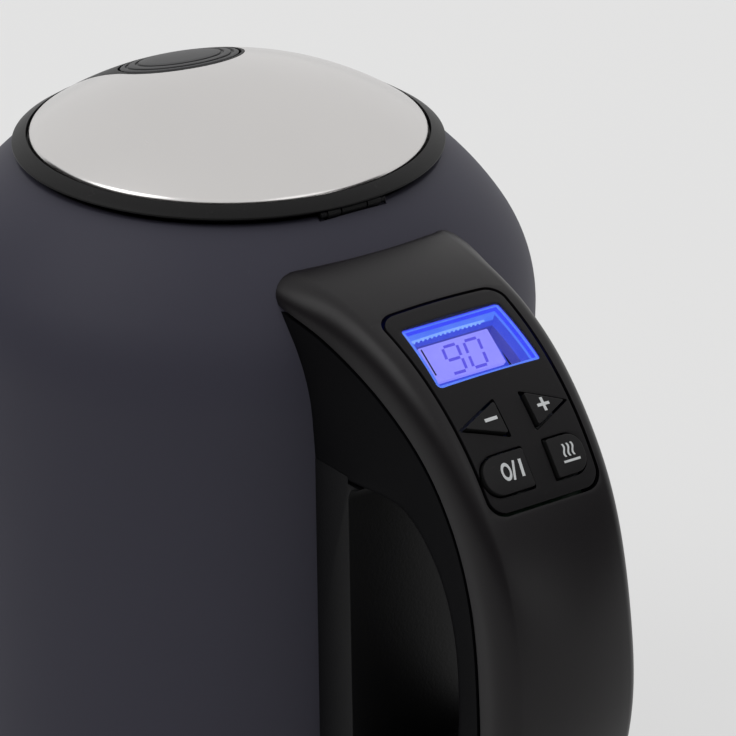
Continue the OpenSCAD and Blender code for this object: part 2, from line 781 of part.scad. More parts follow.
base_top_housing();
base_bottom_cover();
base_socket();
base_contacts();
base_feet();
base_screws();
cord_inlet();
kettle_connector();
connector_contacts();
body_skin();
inner_vessel();
neck_collar();
neck_gasket();
hinge_pin();
hinge_springs();
heater_plate();
heat_spreader();
heating_element();
dry_boil_cutout();
temperature_probe();
kettle_foot();
wiring_loom();
spout_root_ring();
spout_elbow();
spout_riser();
spout_tip();
spout_lip();
spout_strainer();
handle_outer_shell();
handle_inner_shell();
handle_strip();
strip_screws();
shell_screws();
control_panel();
display_window();
display_frame();
display_glass();
backlight();
control_board();
key_membrane();
lid_dome();
lid_ring();
lid_tongue();
lid_inner_cover();
lid_seal();
latch_plate();
lid_spring();
lid_button();
lid_latch();
button_minus();
button_plus();
button_power();
button_keep_warm();
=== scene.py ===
import bmesh
import bpy
from math import asin, atan2, cos, hypot, pi, radians, sin, sqrt
from mathutils import Matrix, Vector


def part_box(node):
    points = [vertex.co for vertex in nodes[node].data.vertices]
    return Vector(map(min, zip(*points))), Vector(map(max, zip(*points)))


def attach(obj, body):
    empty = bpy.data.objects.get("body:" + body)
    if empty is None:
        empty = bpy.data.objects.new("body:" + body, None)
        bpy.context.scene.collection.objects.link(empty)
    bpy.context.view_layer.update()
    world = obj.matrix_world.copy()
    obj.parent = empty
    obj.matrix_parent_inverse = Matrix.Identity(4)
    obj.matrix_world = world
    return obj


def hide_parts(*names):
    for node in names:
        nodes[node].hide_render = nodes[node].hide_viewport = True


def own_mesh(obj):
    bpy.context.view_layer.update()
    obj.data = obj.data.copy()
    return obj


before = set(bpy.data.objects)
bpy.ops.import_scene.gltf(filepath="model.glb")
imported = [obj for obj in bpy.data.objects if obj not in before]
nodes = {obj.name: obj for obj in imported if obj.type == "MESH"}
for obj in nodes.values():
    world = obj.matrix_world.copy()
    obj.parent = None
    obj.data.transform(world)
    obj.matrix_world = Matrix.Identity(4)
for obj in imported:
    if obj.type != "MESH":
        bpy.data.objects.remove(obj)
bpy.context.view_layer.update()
print("stage: frame loaded,", len(nodes), "nodes")

# everything below is drawn in millimetres and brought to metres by finishPiece
mm = 0.001


# ---- helpers that everything uses ----
def asObject(bm, name="working"):
    mesh = bpy.data.meshes.new(name)
    bm.to_mesh(mesh)
    bm.free()
    made = bpy.data.objects.new(name, mesh)
    bpy.context.scene.collection.objects.link(made)
    return made


def newMaterial(name):
    material = bpy.data.materials.new(name)
    material.use_nodes = True
    return material, material.node_tree, material.node_tree.nodes["Principled BSDF"]


def feed(tree, socket, value):
    # a socket takes either another node's output or a plain value
    if hasattr(value, "is_linked"):
        tree.links.new(value, socket)
    else:
        socket.default_value = value


def mathNode(tree, operation, *values):
    node = tree.nodes.new("ShaderNodeMath")
    node.operation = operation
    for socket, value in zip(node.inputs, values):
        feed(tree, socket, value)
    return node.outputs[0]


def mixShaders(tree, share, first, second):
    node = tree.nodes.new("ShaderNodeMixShader")
    for socket, value in zip(node.inputs, (share, first, second)):
        feed(tree, socket, value)
    return node.outputs[0]


def glowShader(tree, kind, color, strength=1.0):
    node = tree.nodes.new(kind)
    node.inputs["Color"].default_value = color
    node.inputs["Strength"].default_value = strength
    return node.outputs[0]


# ---- camera, floor and light ----
camera = {
    "place": (0.898, -0.6107, 0.6059),
    "turn": (65.93, 0, 54),
    "lens": 234.8,
}


def placeCamera():
    data = bpy.data.cameras.new("camera")
    data.lens = camera["lens"]
    data.sensor_width = 36
    data.clip_end = 30
    eye = bpy.data.objects.new("camera", data)
    eye.location = camera["place"]
    eye.rotation_euler = [radians(a) for a in camera["turn"]]
    bpy.context.scene.collection.objects.link(eye)
    bpy.context.scene.camera = eye


placeCamera()
bpy.context.scene.view_settings.view_transform = "Standard"

studio = {
    "floorSize": 12,
    "floorDrop": 0.0002,  # keeps the floor clear of the feet
    "floorGlow": 0.62,  # how far the floor shows the back's own colour
    "floorColor": (0.81, 0.81, 0.808, 1),
    "backColor": (0.84, 0.84, 0.838, 1),
    "skyLevel": 0.50,
    "lamps": [
        # name, place, size, watts, what it faces, whether gloss shows it
        ("topFill", (-0.35, 0.1, 1.7), 1.2, 3.6, (0, 0, 0.1), False),
        ("leftSoft", (-0.4, -1.55, 1.65), 1.5, 11, (0, 0, 0.12), True),
        ("frontSoft", (1.75, 0.3, 1.45), 1.3, 2.6, (0, 0, 0.12), True),
        ("rightRim", (-0.9, 1.5, 0.8), 0.9, 5, (0, 0, 0.12), False),
        ("lowFront", (1.95, 0.72, 0.34), 0.5, 1.6, (0, 0, 0.1), True),
    ],
    # a dark screen on the camera's side, for gloss and for soft shade
    "screen": {"radius": 2.7, "low": -0.4, "high": 1.5, "from": -158, "to": 60, "tone": 0.02},
}


def seenByRays(tree):
    # 1 for rays that show the backdrop itself: camera, mirror and clear glass
    path = tree.nodes.new("ShaderNodeLightPath").outputs
    seen = mathNode(tree, "MAXIMUM", path["Is Camera Ray"], path["Is Glossy Ray"])
    return mathNode(tree, "MAXIMUM", seen, path["Is Transmission Ray"])


def mattMaterial(name, color, roughness):
    material, tree, shader = newMaterial(name)
    shader.inputs["Base Color"].default_value = color
    shader.inputs["Roughness"].default_value = roughness
    shader.inputs["Specular IOR Level"].default_value = 0.1
    return material, tree, shader


def makeWorld():
    world = bpy.data.worlds.new("softRoom")
    bpy.context.scene.world = world
    world.use_nodes = True
    tree = world.node_tree
    tree.nodes.clear()
    sky = glowShader(tree, "ShaderNodeBackground", (1, 1, 1, 1), studio["skyLevel"])
    back = glowShader(tree, "ShaderNodeBackground", studio["backColor"])
    shown = mixShaders(tree, seenByRays(tree), sky, back)
    tree.links.new(shown, tree.nodes.new("ShaderNodeOutputWorld").inputs["Surface"])


def makeFloor():
    bm = bmesh.new()
    bmesh.ops.create_grid(bm, x_segments=8, y_segments=8, size=studio["floorSize"] / 2)
    floor = asObject(bm, "floor")
    floor.location.z = -studio["floorDrop"]
    paper, tree, shader = mattMaterial("palePaper", studio["floorColor"], 0.9)
    share = mathNode(tree, "MULTIPLY", seenByRays(tree), studio["floorGlow"])
    glow = glowShader(tree, "ShaderNodeEmission", studio["backColor"])
    tree.links.new(mixShaders(tree, share, shader.outputs[0], glow), tree.nodes["Material Output"].inputs["Surface"])
    floor.data.materials.append(paper)


def makeScreen():
    screen = studio["screen"]
    bm = bmesh.new()
    ends = [bm.verts.new((screen["radius"], 0, z)) for z in (screen["low"], screen["high"])]
    bmesh.ops.rotate(bm, cent=(0, 0, 0), matrix=Matrix.Rotation(radians(screen["from"]), 3, "Z"), verts=ends)
    bmesh.ops.spin(bm, geom=ends + [bm.edges.new(ends)], cent=(0, 0, 0), axis=(0, 0, 1),
                   angle=radians(screen["to"] - screen["from"]), steps=48)
    curtain = asObject(bm, "darkScreen")
    curtain.data.materials.append(mattMaterial("darkCloth", (*[screen["tone"]] * 3, 1), 0.95)[0])
    curtain.visible_camera = curtain.visible_shadow = curtain.visible_transmission = False


def makeLamps():
    for name, place, size, watts, target, shiny in studio["lamps"]:
        data = bpy.data.lights.new(name, "AREA")
        data.shape = "DISK"
        data.size = size
        data.energy = watts
        lamp = bpy.data.objects.new(name, data)
        lamp.visible_glossy = shiny
        lamp.location = place
        aim = Vector(target) - Vector(place)
        lamp.rotation_euler = aim.to_track_quat("-Z", "Y").to_euler()
        bpy.context.scene.collection.objects.link(lamp)


makeWorld()
makeFloor()
makeScreen()
makeLamps()
print("stage: camera, floor and lamps placed")


# ---- shared finish effects ----
def newGroup(name, inputs, outputs):
    group = bpy.data.node_groups.new(name, "ShaderNodeTree")
    for label, kind, value in inputs:
        socket = group.interface.new_socket(label, in_out="INPUT", socket_type="NodeSocket" + kind)
        if value is not None:
            socket.default_value = value
    for label, kind in outputs:
        group.interface.new_socket(label, in_out="OUTPUT", socket_type="NodeSocket" + kind)
    return group, group.nodes.new("NodeGroupInput").outputs, group.nodes.new("NodeGroupOutput").inputs


def mixColors(tree, factor, a, b):
    node = tree.nodes.new("ShaderNodeMix")
    node.data_type = "RGBA"
    for i, value in ((0, factor), (6, a), (7, b)):
        feed(tree, node.inputs[i], value)
    return node.outputs[2]


def noiseNode(tree, vector, scale, detail=2.0, roughness=0.5):
    node = tree.nodes.new("ShaderNodeTexNoise")
    for label, value in (("Vector", vector), ("Scale", scale), ("Detail", detail), ("Roughness", roughness)):
        feed(tree, node.inputs[label], value)
    return node.outputs[0]


def makeSurfaceTone():
    # soft patches and fine grain over one colour, with the grain's height
    group, given, result = newGroup(
        "surfaceTone",
        [("Vector", "Vector", None), ("Color", "Color", (0.5, 0.5, 0.5, 1)), ("Shade", "Color", (0.4, 0.4, 0.4, 1)),
         ("Patch Scale", "Float", 20.0), ("Patch Amount", "Float", 0.4), ("Grain Scale", "Float", 2000.0),
         ("Grain Amount", "Float", 0.2), ("Roughness", "Float", 0.5), ("Roughness Spread", "Float", 0.1)],
        [("Color", "Color"), ("Roughness", "Float"), ("Height", "Float")])
    patch = noiseNode(group, given["Vector"], given["Patch Scale"], 3.0)
    grain = noiseNode(group, given["Vector"], given["Grain Scale"], 1.0)
    share = mathNode(group, "MULTIPLY", patch, given["Patch Amount"])
    share = mathNode(group, "MULTIPLY_ADD", grain, given["Grain Amount"], share)
    group.links.new(mixColors(group, share, given["Color"], given["Shade"]), result["Color"])
    lift = mathNode(group, "SUBTRACT", patch, 0.5)
    rough = mathNode(group, "MULTIPLY_ADD", lift, given["Roughness Spread"], given["Roughness"])
    group.links.new(rough, result["Roughness"])
    group.links.new(grain, result["Height"])
    return group


def makeDrawnLines():
    # fine lines left by brushing, stretched along the vector's first axis
    group, given, result = newGroup(
        "drawnLines",
        [("Vector", "Vector", None), ("Line Scale", "Float", 900.0), ("Stretch", "Float", 0.03)],
        [("Value", "Float"), ("Height", "Float")])
    parts = group.nodes.new("ShaderNodeSeparateXYZ")
    group.links.new(given["Vector"], parts.inputs[0])
    joined = group.nodes.new("ShaderNodeCombineXYZ")
    group.links.new(mathNode(group, "MULTIPLY", parts.outputs[0], given["Stretch"]), joined.inputs[0])
    group.links.new(parts.outputs[1], joined.inputs[1])
    group.links.new(parts.outputs[2], joined.inputs[2])
    lines = noiseNode(group, joined.outputs[0], given["Line Scale"], 3.0, 0.6)
    group.links.new(lines, result["Value"])
    group.links.new(lines, result["Height"])
    return group


def makeDustFall():
    # a light dust that settles on what faces up
    group, given, result = newGroup(
        "dustFall",
        [("Vector", "Vector", None), ("Color", "Color", (0, 0, 0, 1)), ("Dust", "Color", (0.4, 0.4, 0.4, 1)),
         ("Scale", "Float", 700.0), ("Amount", "Float", 0.1)],
        [("Color", "Color")])
    facing = group.nodes.new("ShaderNodeNewGeometry")
    parts = group.nodes.new("ShaderNodeSeparateXYZ")
    group.links.new(facing.outputs["Normal"], parts.inputs[0])
    up = mathNode(group, "MAXIMUM", parts.outputs[2], 0.0)
    specks = noiseNode(group, given["Vector"], given["Scale"], 2.0, 0.7)
    specks = mathNode(group, "GREATER_THAN", specks, 0.68)
    mask = mathNode(group, "MULTIPLY", mathNode(group, "MULTIPLY", up, specks), given["Amount"])
    group.links.new(mixColors(group, mask, given["Color"], given["Dust"]), result["Color"])
    return group


surfaceTone = makeSurfaceTone()
drawnLines = makeDrawnLines()
dustFall = makeDustFall()

# each finish: its colour and the shade it drifts to, in patches and in grain (a higher scale is finer), roughness and
# its spread, bump in millimetres, and where they apply the metal, the specular level, the dust and the brushed lines
finishes = {
    "slateSoftPaint": dict(color=(0.047, 0.045, 0.066), shade=(0.039, 0.038, 0.055), patch=14, grain=5200,
                           grainAmount=0.25, rough=0.58, spread=0.05, bump=0.012, spec=0.28, dust=0.015),
    "satinDomeSteel": dict(color=(0.685, 0.666, 0.657), shade=(0.64, 0.625, 0.617), patch=26, patchAmount=0.7,
                           grain=2400, grainAmount=0.1, rough=0.20, spread=0.08, metal=1.0, bump=0.004, lines=1500),
    "satinTubeSteel": dict(color=(0.63, 0.635, 0.64), shade=(0.55, 0.555, 0.56), patch=30, grain=2200, grainAmount=0.05,
                           rough=0.26, spread=0.04, metal=1.0, bump=0.0003, lines=700),
    "vesselSteel": dict(color=(0.60, 0.60, 0.61), shade=(0.50, 0.50, 0.51), patch=20, grain=1800, grainAmount=0.1,
                        rough=0.32, metal=1.0, bump=0.01, lines=900),
    "ringSatinBlack": dict(color=(0.0085, 0.0082, 0.0085), shade=(0.006, 0.006, 0.0063), patch=30, grain=3000,
                           rough=0.42, spread=0.06, bump=0.01, spec=0.16, dust=0.02),
    "tongueSatinBlack": dict(color=(0.0075, 0.0072, 0.0075), shade=(0.0055, 0.0055, 0.0058), patch=30, grain=3000,
                             rough=0.43, spread=0.06, bump=0.01, spec=0.115, dust=0.015),
    "badgeGrey": dict(color=(0.042, 0.042, 0.044), shade=(0.033, 0.033, 0.035), patch=60, patchAmount=0.5, grain=3200,
                      grainAmount=0.4, rough=0.46, spread=0.08, bump=0.02, spec=0.24, dust=0.02),
    "handleSoftBlack": dict(color=(0.0076, 0.0062, 0.0074), shade=(0.0054, 0.0043, 0.0053), patch=22, patchAmount=0.7,
                            grain=4200, grainAmount=0.35, rough=0.37, spread=0.08, bump=0.012, spec=0.27, dust=0.015),
    # painted shade: a darker, less glossy copy of the handle's black, for the inner shell in the finger gap
    "innerSoftBlack": dict(color=(0.0032, 0.0032, 0.0039), shade=(0.0024, 0.0024, 0.003), patch=22, patchAmount=0.7,
                           grain=4200, grainAmount=0.35, rough=0.54, spread=0.08, bump=0.02, spec=0.055, dust=0.02),
    "stripGrainBlack": dict(color=(0.0035, 0.0035, 0.004), shade=(0.0025, 0.0025, 0.003), patch=30, grain=1500,
                            grainAmount=0.5, rough=0.42, bump=0.03, spec=0.21, dust=0.012),
    "panelSoftBlack": dict(color=(0.0072, 0.0064, 0.0074), shade=(0.0052, 0.0046, 0.0054), patch=40, grain=3800,
                           grainAmount=0.35, rough=0.50, spread=0.06, bump=0.02, spec=0.17, dust=0.015),
    "keySoftBlack": dict(color=(0.0085, 0.0078, 0.0087), shade=(0.006, 0.0056, 0.0062), patch=90, grain=3800,
                         grainAmount=0.35, rough=0.48, spread=0.06, bump=0.02, spec=0.2, dust=0.015),
    "symbolWhite": dict(color=(0.80, 0.82, 0.83), shade=(0.68, 0.70, 0.71), patch=300, patchAmount=0.5, grain=5000,
                        grainAmount=0.2, rough=0.5, spread=0.05, bump=0.01),
    # near black for the seam's lips and the display's guard; on the keys' sides it is painted shade
    "grooveBlack": dict(color=(0.003, 0.003, 0.003), shade=(0.002, 0.002, 0.002), patch=60, patchAmount=0.5, grain=3000,
                        rough=0.7, spread=0.05, bump=0.01, spec=0.2),
    "baseBlack": dict(color=(0.014, 0.014, 0.015), shade=(0.010, 0.010, 0.011), patch=16, grain=2200, grainAmount=0.4,
                      rough=0.47, spread=0.08, bump=0.03, spec=0.2, dust=0.03),
    "coverBlack": dict(color=(0.013, 0.013, 0.014), shade=(0.009, 0.009, 0.010), patch=18, grain=1400, grainAmount=0.5,
                       rough=0.6, bump=0.06, spec=0.4),
    "socketBlack": dict(color=(0.018, 0.018, 0.019), shade=(0.012, 0.012, 0.013), patch=40, patchAmount=0.5, grain=2600,
                        rough=0.36, spread=0.06, bump=0.01),
    "footRubber": dict(color=(0.012, 0.012, 0.012), shade=(0.020, 0.020, 0.019), patch=120, patchAmount=0.5, grain=1600,
                       grainAmount=0.5, rough=0.85, bump=0.06, spec=0.3),
    "contactBrass": dict(color=(0.62, 0.42, 0.17), shade=(0.42, 0.27, 0.10), patch=160, patchAmount=0.7, grain=2600,
                         grainAmount=0.2, rough=0.30, spread=0.2, metal=1.0, bump=0.01, lines=1600),
    "screwZinc": dict(color=(0.50, 0.51, 0.52), shade=(0.38, 0.39, 0.40), patch=220, grain=2400, rough=0.34,
                      spread=0.15, metal=1.0, bump=0.02, lines=1400),
    # dark oxide steel, made near black as painted shade so the hinge sinks into the shade under the ring
    "hingeShadeSteel": dict(color=(0.035, 0.035, 0.037), shade=(0.02, 0.02, 0.022), patch=200, grain=2400, rough=0.5,
                           metal=1.0, bump=0.02),
    "siliconeGrey": dict(color=(0.20, 0.21, 0.215), shade=(0.16, 0.165, 0.17), patch=60, grain=2000, rough=0.62,
                         spread=0.08, bump=0.03),
    "castAluminium": dict(color=(0.56, 0.56, 0.57), shade=(0.42, 0.42, 0.43), patch=60, patchAmount=0.7, grain=700,
                          grainAmount=0.5, rough=0.5, spread=0.15, metal=1.0, bump=0.08),
    "heatedTube": dict(color=(0.27, 0.22, 0.19), shade=(0.16, 0.14, 0.16), patch=45, patchAmount=0.9, grain=1500,
                       rough=0.42, spread=0.2, metal=1.0, bump=0.03),
    "creamResin": dict(color=(0.62, 0.58, 0.49), shade=(0.54, 0.50, 0.41), patch=80, grain=1500, grainAmount=0.4,
                       rough=0.55, bump=0.03),
    "wireSleeve": dict(color=(0.16, 0.03, 0.025), shade=(0.10, 0.02, 0.018), patch=90, grain=900, grainAmount=0.5,
                       rough=0.65, bump=0.08),
    # painted shade: the board's green is darkened to the shade it lies in under the panel, where it shows through the
    # groove
    "boardShadeGreen": dict(color=(0.006, 0.03, 0.0135), shade=(0.009, 0.045, 0.018), patch=400, patchAmount=0.8, grain=1200,
                       rough=0.35, bump=0.02),
}


lineRoughness = 0.08  # how much rougher brushed steel is along its lines


def placeGroup(tree, group, values):
    node = tree.nodes.new("ShaderNodeGroup")
    node.node_tree = group
    for label, value in values.items():
        feed(tree, node.inputs[label], value)
    return node


def makeFinish(name, color, shade, patch, grain, rough, bump, patchAmount=0.6, grainAmount=0.3, spread=0.1,
               metal=0.0, spec=0.5, dust=0.0, lines=0):
    material, tree, shader = newMaterial(name)
    shader.inputs["Metallic"].default_value = metal
    shader.inputs["Specular IOR Level"].default_value = spec
    place = tree.nodes.new("ShaderNodeTexCoord").outputs["Object"]
    tone = placeGroup(tree, surfaceTone, {
        "Vector": place, "Color": (*color, 1), "Shade": (*shade, 1), "Patch Scale": patch, "Patch Amount": patchAmount,
        "Grain Scale": grain, "Grain Amount": grainAmount, "Roughness": rough, "Roughness Spread": spread})
    shown, height, roughness = tone.outputs["Color"], tone.outputs["Height"], tone.outputs["Roughness"]
    if lines:
        drawn = placeGroup(tree, drawnLines, {"Vector": place, "Line Scale": lines})
        height = drawn.outputs["Height"]
        roughness = mathNode(tree, "MULTIPLY_ADD", drawn.outputs["Value"], lineRoughness, roughness)
    if dust:
        shown = placeGroup(tree, dustFall, {"Vector": place, "Color": shown, "Amount": dust}).outputs["Color"]
    tree.links.new(shown, shader.inputs["Base Color"])
    tree.links.new(roughness, shader.inputs["Roughness"])
    relief = tree.nodes.new("ShaderNodeBump")
    relief.inputs["Strength"].default_value = 1
    relief.inputs["Distance"].default_value = bump * mm
    tree.links.new(height, relief.inputs["Height"])
    tree.links.new(relief.outputs[0], shader.inputs["Normal"])
    return material


finish = {name: makeFinish(name, **values) for name, values in finishes.items()}

# the display's lit pieces: colour, second colour, glow strength, scale of the mottling
glows = {
    "litDisplay": ((0.245, 0.235, 1.0), (0.30, 0.29, 1.0), 0.92, 160),
    "litDigits": ((0.085, 0.065, 0.80), (0.07, 0.05, 0.70), 0.9, 300),
    # the glows from here on paint light and shade on the display frame's steps and a pale painted highlight; the deep
    # glow also lights the backlight itself
    "litRim": ((0.022, 0.035, 0.95), (0.04, 0.07, 1.0), 0.9, 220),
    "litBright": ((0.045, 0.13, 0.90), (0.10, 0.24, 1.0), 0.9, 260),
    "litPale": ((0.26, 0.47, 1.0), (0.16, 0.33, 1.0), 0.95, 500),
    "litDeep": ((0.026, 0.05, 0.62), (0.04, 0.075, 0.80), 0.85, 160),
    "litShade": ((0.022, 0.026, 0.34), (0.04, 0.045, 0.46), 0.85, 130),
    "litViolet": ((0.03, 0.027, 0.10), (0.05, 0.045, 0.15), 0.6, 160),
}


def makeGlow(name, color, second, strength, scale):
    material, tree, shader = newMaterial(name)
    place = tree.nodes.new("ShaderNodeTexCoord").outputs["Object"]
    tone = placeGroup(tree, surfaceTone, {
        "Vector": place, "Color": (*color, 1), "Shade": (*second, 1), "Patch Scale": scale, "Patch Amount": 1.0,
        "Grain Scale": 2500.0, "Grain Amount": 0.1, "Roughness": 0.35, "Roughness Spread": 0.1})
    tree.links.new(tone.outputs["Color"], shader.inputs["Emission Color"])
    tree.links.new(tone.outputs["Roughness"], shader.inputs["Roughness"])
    dim = mixColors(tree, 0.85, tone.outputs["Color"], (0, 0, 0, 1))
    tree.links.new(dim, shader.inputs["Base Color"])
    shader.inputs["Emission Strength"].default_value = strength
    return material


for name, (color, second, strength, scale) in glows.items():
    finish[name] = makeGlow(name, color, second, strength, scale)


def makeWindowClear():
    material = makeFinish("windowClear", color=(0.35, 0.4, 0.9), shade=(0.3, 0.35, 0.85), patch=60, patchAmount=0.5,
                          grain=2500, grainAmount=0.1, rough=0.08, spread=0.04, bump=0.002)
    shader = material.node_tree.nodes["Principled BSDF"]
    shader.inputs["Alpha"].default_value = 0.04
    shader.inputs["Specular IOR Level"].default_value = 0.25
    return material


finish["windowClear"] = makeWindowClear()
print("stage: finishes made,", len(finish))


# ---- modelling helpers, in millimetres ----
def asMesh(made):
    bm = bmesh.new()
    bm.from_mesh(made.data)
    return bm


def settle(made):
    # takes the modifiers' result as the object's own mesh
    graph = bpy.context.evaluated_depsgraph_get()
    mesh = bpy.data.meshes.new_from_object(made.evaluated_get(graph))
    made.modifiers.clear()
    old = made.data
    made.data = mesh
    bpy.data.meshes.remove(old)


def carve(made, tool, how="DIFFERENCE", foldsOver=False):
    cut = made.modifiers.new("carve", "BOOLEAN")
    cut.use_self = foldsOver
    cut.operation = how
    cut.solver = "EXACT"
    cut.object = tool
    settle(made)
    mesh = tool.data
    bpy.data.objects.remove(tool)
    bpy.data.meshes.remove(mesh)
    return made


def roundEdges(bm, width, steps=2, sharper=38, wanted=None):
    # bevels the edges that turn by more than so many degrees
    edges = [e for e in bm.edges if len(e.link_faces) == 2 and e.calc_face_angle(0) > radians(sharper)]
    if wanted:
        edges = [e for e in edges if wanted(e)]
    bmesh.ops.bevel(bm, geom=edges, offset=width, offset_type="OFFSET", segments=steps, profile=0.5,
                    affect="EDGES", clamp_overlap=True, material=-1)
    return bm


def roundObject(made, width, steps=2, sharper=38, wanted=None):
    bm = asMesh(made)
    bmesh.ops.remove_doubles(bm, verts=bm.verts, dist=0.005)
    bmesh.ops.dissolve_degenerate(bm, edges=bm.edges, dist=0.005)
    roundEdges(bm, width, steps, sharper, wanted)
    bm.to_mesh(made.data)
    bm.free()
    return made


def finishPiece(made, name, body, coat, stands=(), smooth=32):
    # stands are the CAD nodes that this piece takes the place of
    made.name = name
    made.data.name = name
    made.data.transform(Matrix.Scale(mm, 4))
    made.data.shade_smooth()
    made.data.set_sharp_from_angle(angle=radians(smooth))
    for c in coat if isinstance(coat, list) else [coat]:
        made.data.materials.append(finish[c])
    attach(made, body)
    if stands:
        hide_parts(*stands)
    return made


def lathe(outline, steps=144, closed=True):
    # outline is (radius, height); closed where it is a loop off the axis
    bm = bmesh.new()
    dots = [bm.verts.new((r, 0, z)) for r, z in outline]
    ends = dots[1:] + dots[:1] if closed else dots[1:]
    lines = [bm.edges.new(pair) for pair in zip(dots, ends)]
    bmesh.ops.spin(bm, geom=dots + lines, cent=(0, 0, 0), axis=(0, 0, 1), angle=2 * pi, steps=steps, use_merge=True)
    bmesh.ops.remove_doubles(bm, verts=bm.verts, dist=1e-4)
    bmesh.ops.recalc_face_normals(bm, faces=bm.faces)
    return bm


def roundCorners(bm, corners, width, steps):
    bmesh.ops.bevel(bm, geom=corners, offset=width, offset_type="OFFSET", segments=steps, profile=0.5,
                    affect="VERTICES", material=-1)


def raiseUp(bm, height):
    # gives a flat sheet its height
    made = bmesh.ops.extrude_face_region(bm, geom=bm.faces[:])
    moved = [v for v in made["geom"] if isinstance(v, bmesh.types.BMVert)]
    bmesh.ops.translate(bm, vec=(0, 0, height), verts=moved)
    bmesh.ops.recalc_face_normals(bm, faces=bm.faces)
    return bm


def prism(points, low, high, corner=0.0, steps=6):
    # a flat outline with rounded corners, given a height
    bm = bmesh.new()
    bm.faces.new([bm.verts.new((x, y, low)) for x, y in points])
    if corner:
        roundCorners(bm, bm.verts[:], corner, steps)
    return raiseUp(bm, high - low)


def box(x0, x1, y0, y1, z0, z1):
    return prism([(x0, y0), (x1, y0), (x1, y1), (x0, y1)], z0, z1)


def rod(r, length, sides=64, place=(0, 0, 0), turn=(0, 0, 0)):
    bm = bmesh.new()
    bmesh.ops.create_cone(bm, cap_ends=True, segments=sides, radius1=r, radius2=r, depth=length)
    about = [Matrix.Rotation(radians(angle), 4, axis) for angle, axis in zip(turn, "XYZ")]
    bmesh.ops.transform(bm, matrix=Matrix.Translation(place) @ about[2] @ about[1] @ about[0], verts=bm.verts)
    return bm


def sliceAcross(bm, low, high, step, way=(1, 0, 0)):
    # cuts a flat layout across, so that it can bend that way
    n = int((high - low) / step)
    for i in range(1, n):
        bmesh.ops.bisect_plane(bm, geom=bm.verts[:] + bm.edges[:] + bm.faces[:],
                               plane_co=Vector(way) * (low + i * step), plane_no=way, dist=1e-5)
    return bm


def reshape(bm, move):
    for v in bm.verts:
        v.co = move(v.co)
    return bm


def addPart(whole, part):
    mesh = bpy.data.meshes.new("part")
    part.to_mesh(mesh)
    part.free()
    whole.from_mesh(mesh)
    bpy.data.meshes.remove(mesh)


def joinMeshes(parts):
    whole = bmesh.new()
    for part in parts:
        addPart(whole, part)
    return whole


def ease(t):
    # from 0 to 1 with soft ends
    t = min(1.0, max(0.0, t))
    return t * t * (3 - 2 * t)


def quarter(steps, first=1):
    # the angles of a quarter turn
    return [pi / 2 * k / steps for k in range(first, steps + 1)]


def gridSheet(rows):
    # rows of points, all of one length, on a grid's own faces
    bm = bmesh.new()
    across, along = len(rows[0]) - 1, len(rows) - 1
    bmesh.ops.create_grid(bm, x_segments=across, y_segments=along, size=0.5)
    for v in bm.verts:
        v.co = rows[round((v.co.y + 0.5) * along)][round((v.co.x + 0.5) * across)]
    return bm


def thicken(made, amount):
    # a wall grown inwards from an open sheet
    wall = made.modifiers.new("wall", "SOLIDIFY")
    wall.thickness = amount
    wall.offset = -1
    wall.use_even_offset = True
    settle(made)
    return made


def curvePoint(p, t):
    a, b, c, d = (1 - t) ** 3, 3 * t * (1 - t) ** 2, 3 * t * t * (1 - t), t ** 3
    return tuple(a * p[0][i] + b * p[1][i] + c * p[2][i] + d * p[3][i] for i in range(len(p[0])))


def curveLine(p, n):
    return [curvePoint(p, i / n) for i in range(n + 1)]


def runLengths(line):
    lengths = [0.0]
    for a, b in zip(line, line[1:]):
        lengths.append(lengths[-1] + hypot(b[0] - a[0], b[1] - a[1]))
    return lengths


def atLength(line, lengths, s):
    # the point and direction at a run length along the line
    s = min(max(s, 0.0), lengths[-1])
    i = max(j for j in range(len(line) - 1) if lengths[j] <= s)
    span = lengths[i + 1] - lengths[i]
    t = (s - lengths[i]) / span
    a, b = line[i], line[i + 1]
    return (a[0] + (b[0] - a[0]) * t, a[1] + (b[1] - a[1]) * t), ((b[0] - a[0]) / span, (b[1] - a[1]) / span)


def easeTable(table, s):
    # a smooth value through (place, value) pairs
    if s <= table[0][0]:
        return table[0][1]
    if s >= table[-1][0]:
        return table[-1][1]
    i = max(j for j in range(len(table) - 1) if table[j][0] <= s)
    (x0, y0), (x1, y1) = table[i], table[i + 1]
    slope = lambda j: 0.0 if j <= 0 or j >= len(table) - 1 else \
        (table[j + 1][1] - table[j - 1][1]) / (table[j + 1][0] - table[j - 1][0])
    h = x1 - x0
    t = (s - x0) / h
    return (y0 * (1 + 2 * t) * (1 - t) ** 2 + slope(i) * h * t * (1 - t) ** 2
            + y1 * t * t * (3 - 2 * t) + slope(i + 1) * h * t * t * (t - 1))


# ---- kettle body ----
rimZ = 185.0
kettleBody = {
    "bellyR": 75.0, "bellyZ": 140.0, "footR": 73.4, "footZ": 24.0, "skin": 1.2,
    "bellyArc": 39.8, "shoulderArc": 77.85, "joinAngle": 32.8, "lipDrop": 4.85,
    "hinge": (51.0, 180.9), "hingeNotch": 1.45, "hingeNotchHalf": 9.7,
    # room for the springs: how far in, half width, how far below the rim it starts and ends
    "hingeRoom": (3.0, 7.8, 5.8, 2.8),
    # radius, place along X and Z, turn
    "spoutHole": (9.4, -74.3, 61.1, -70),
    # the solid that cuts whatever meets the body runs past the lip and the foot
    "pastLip": 3.0, "pastFoot": 2.0,
}


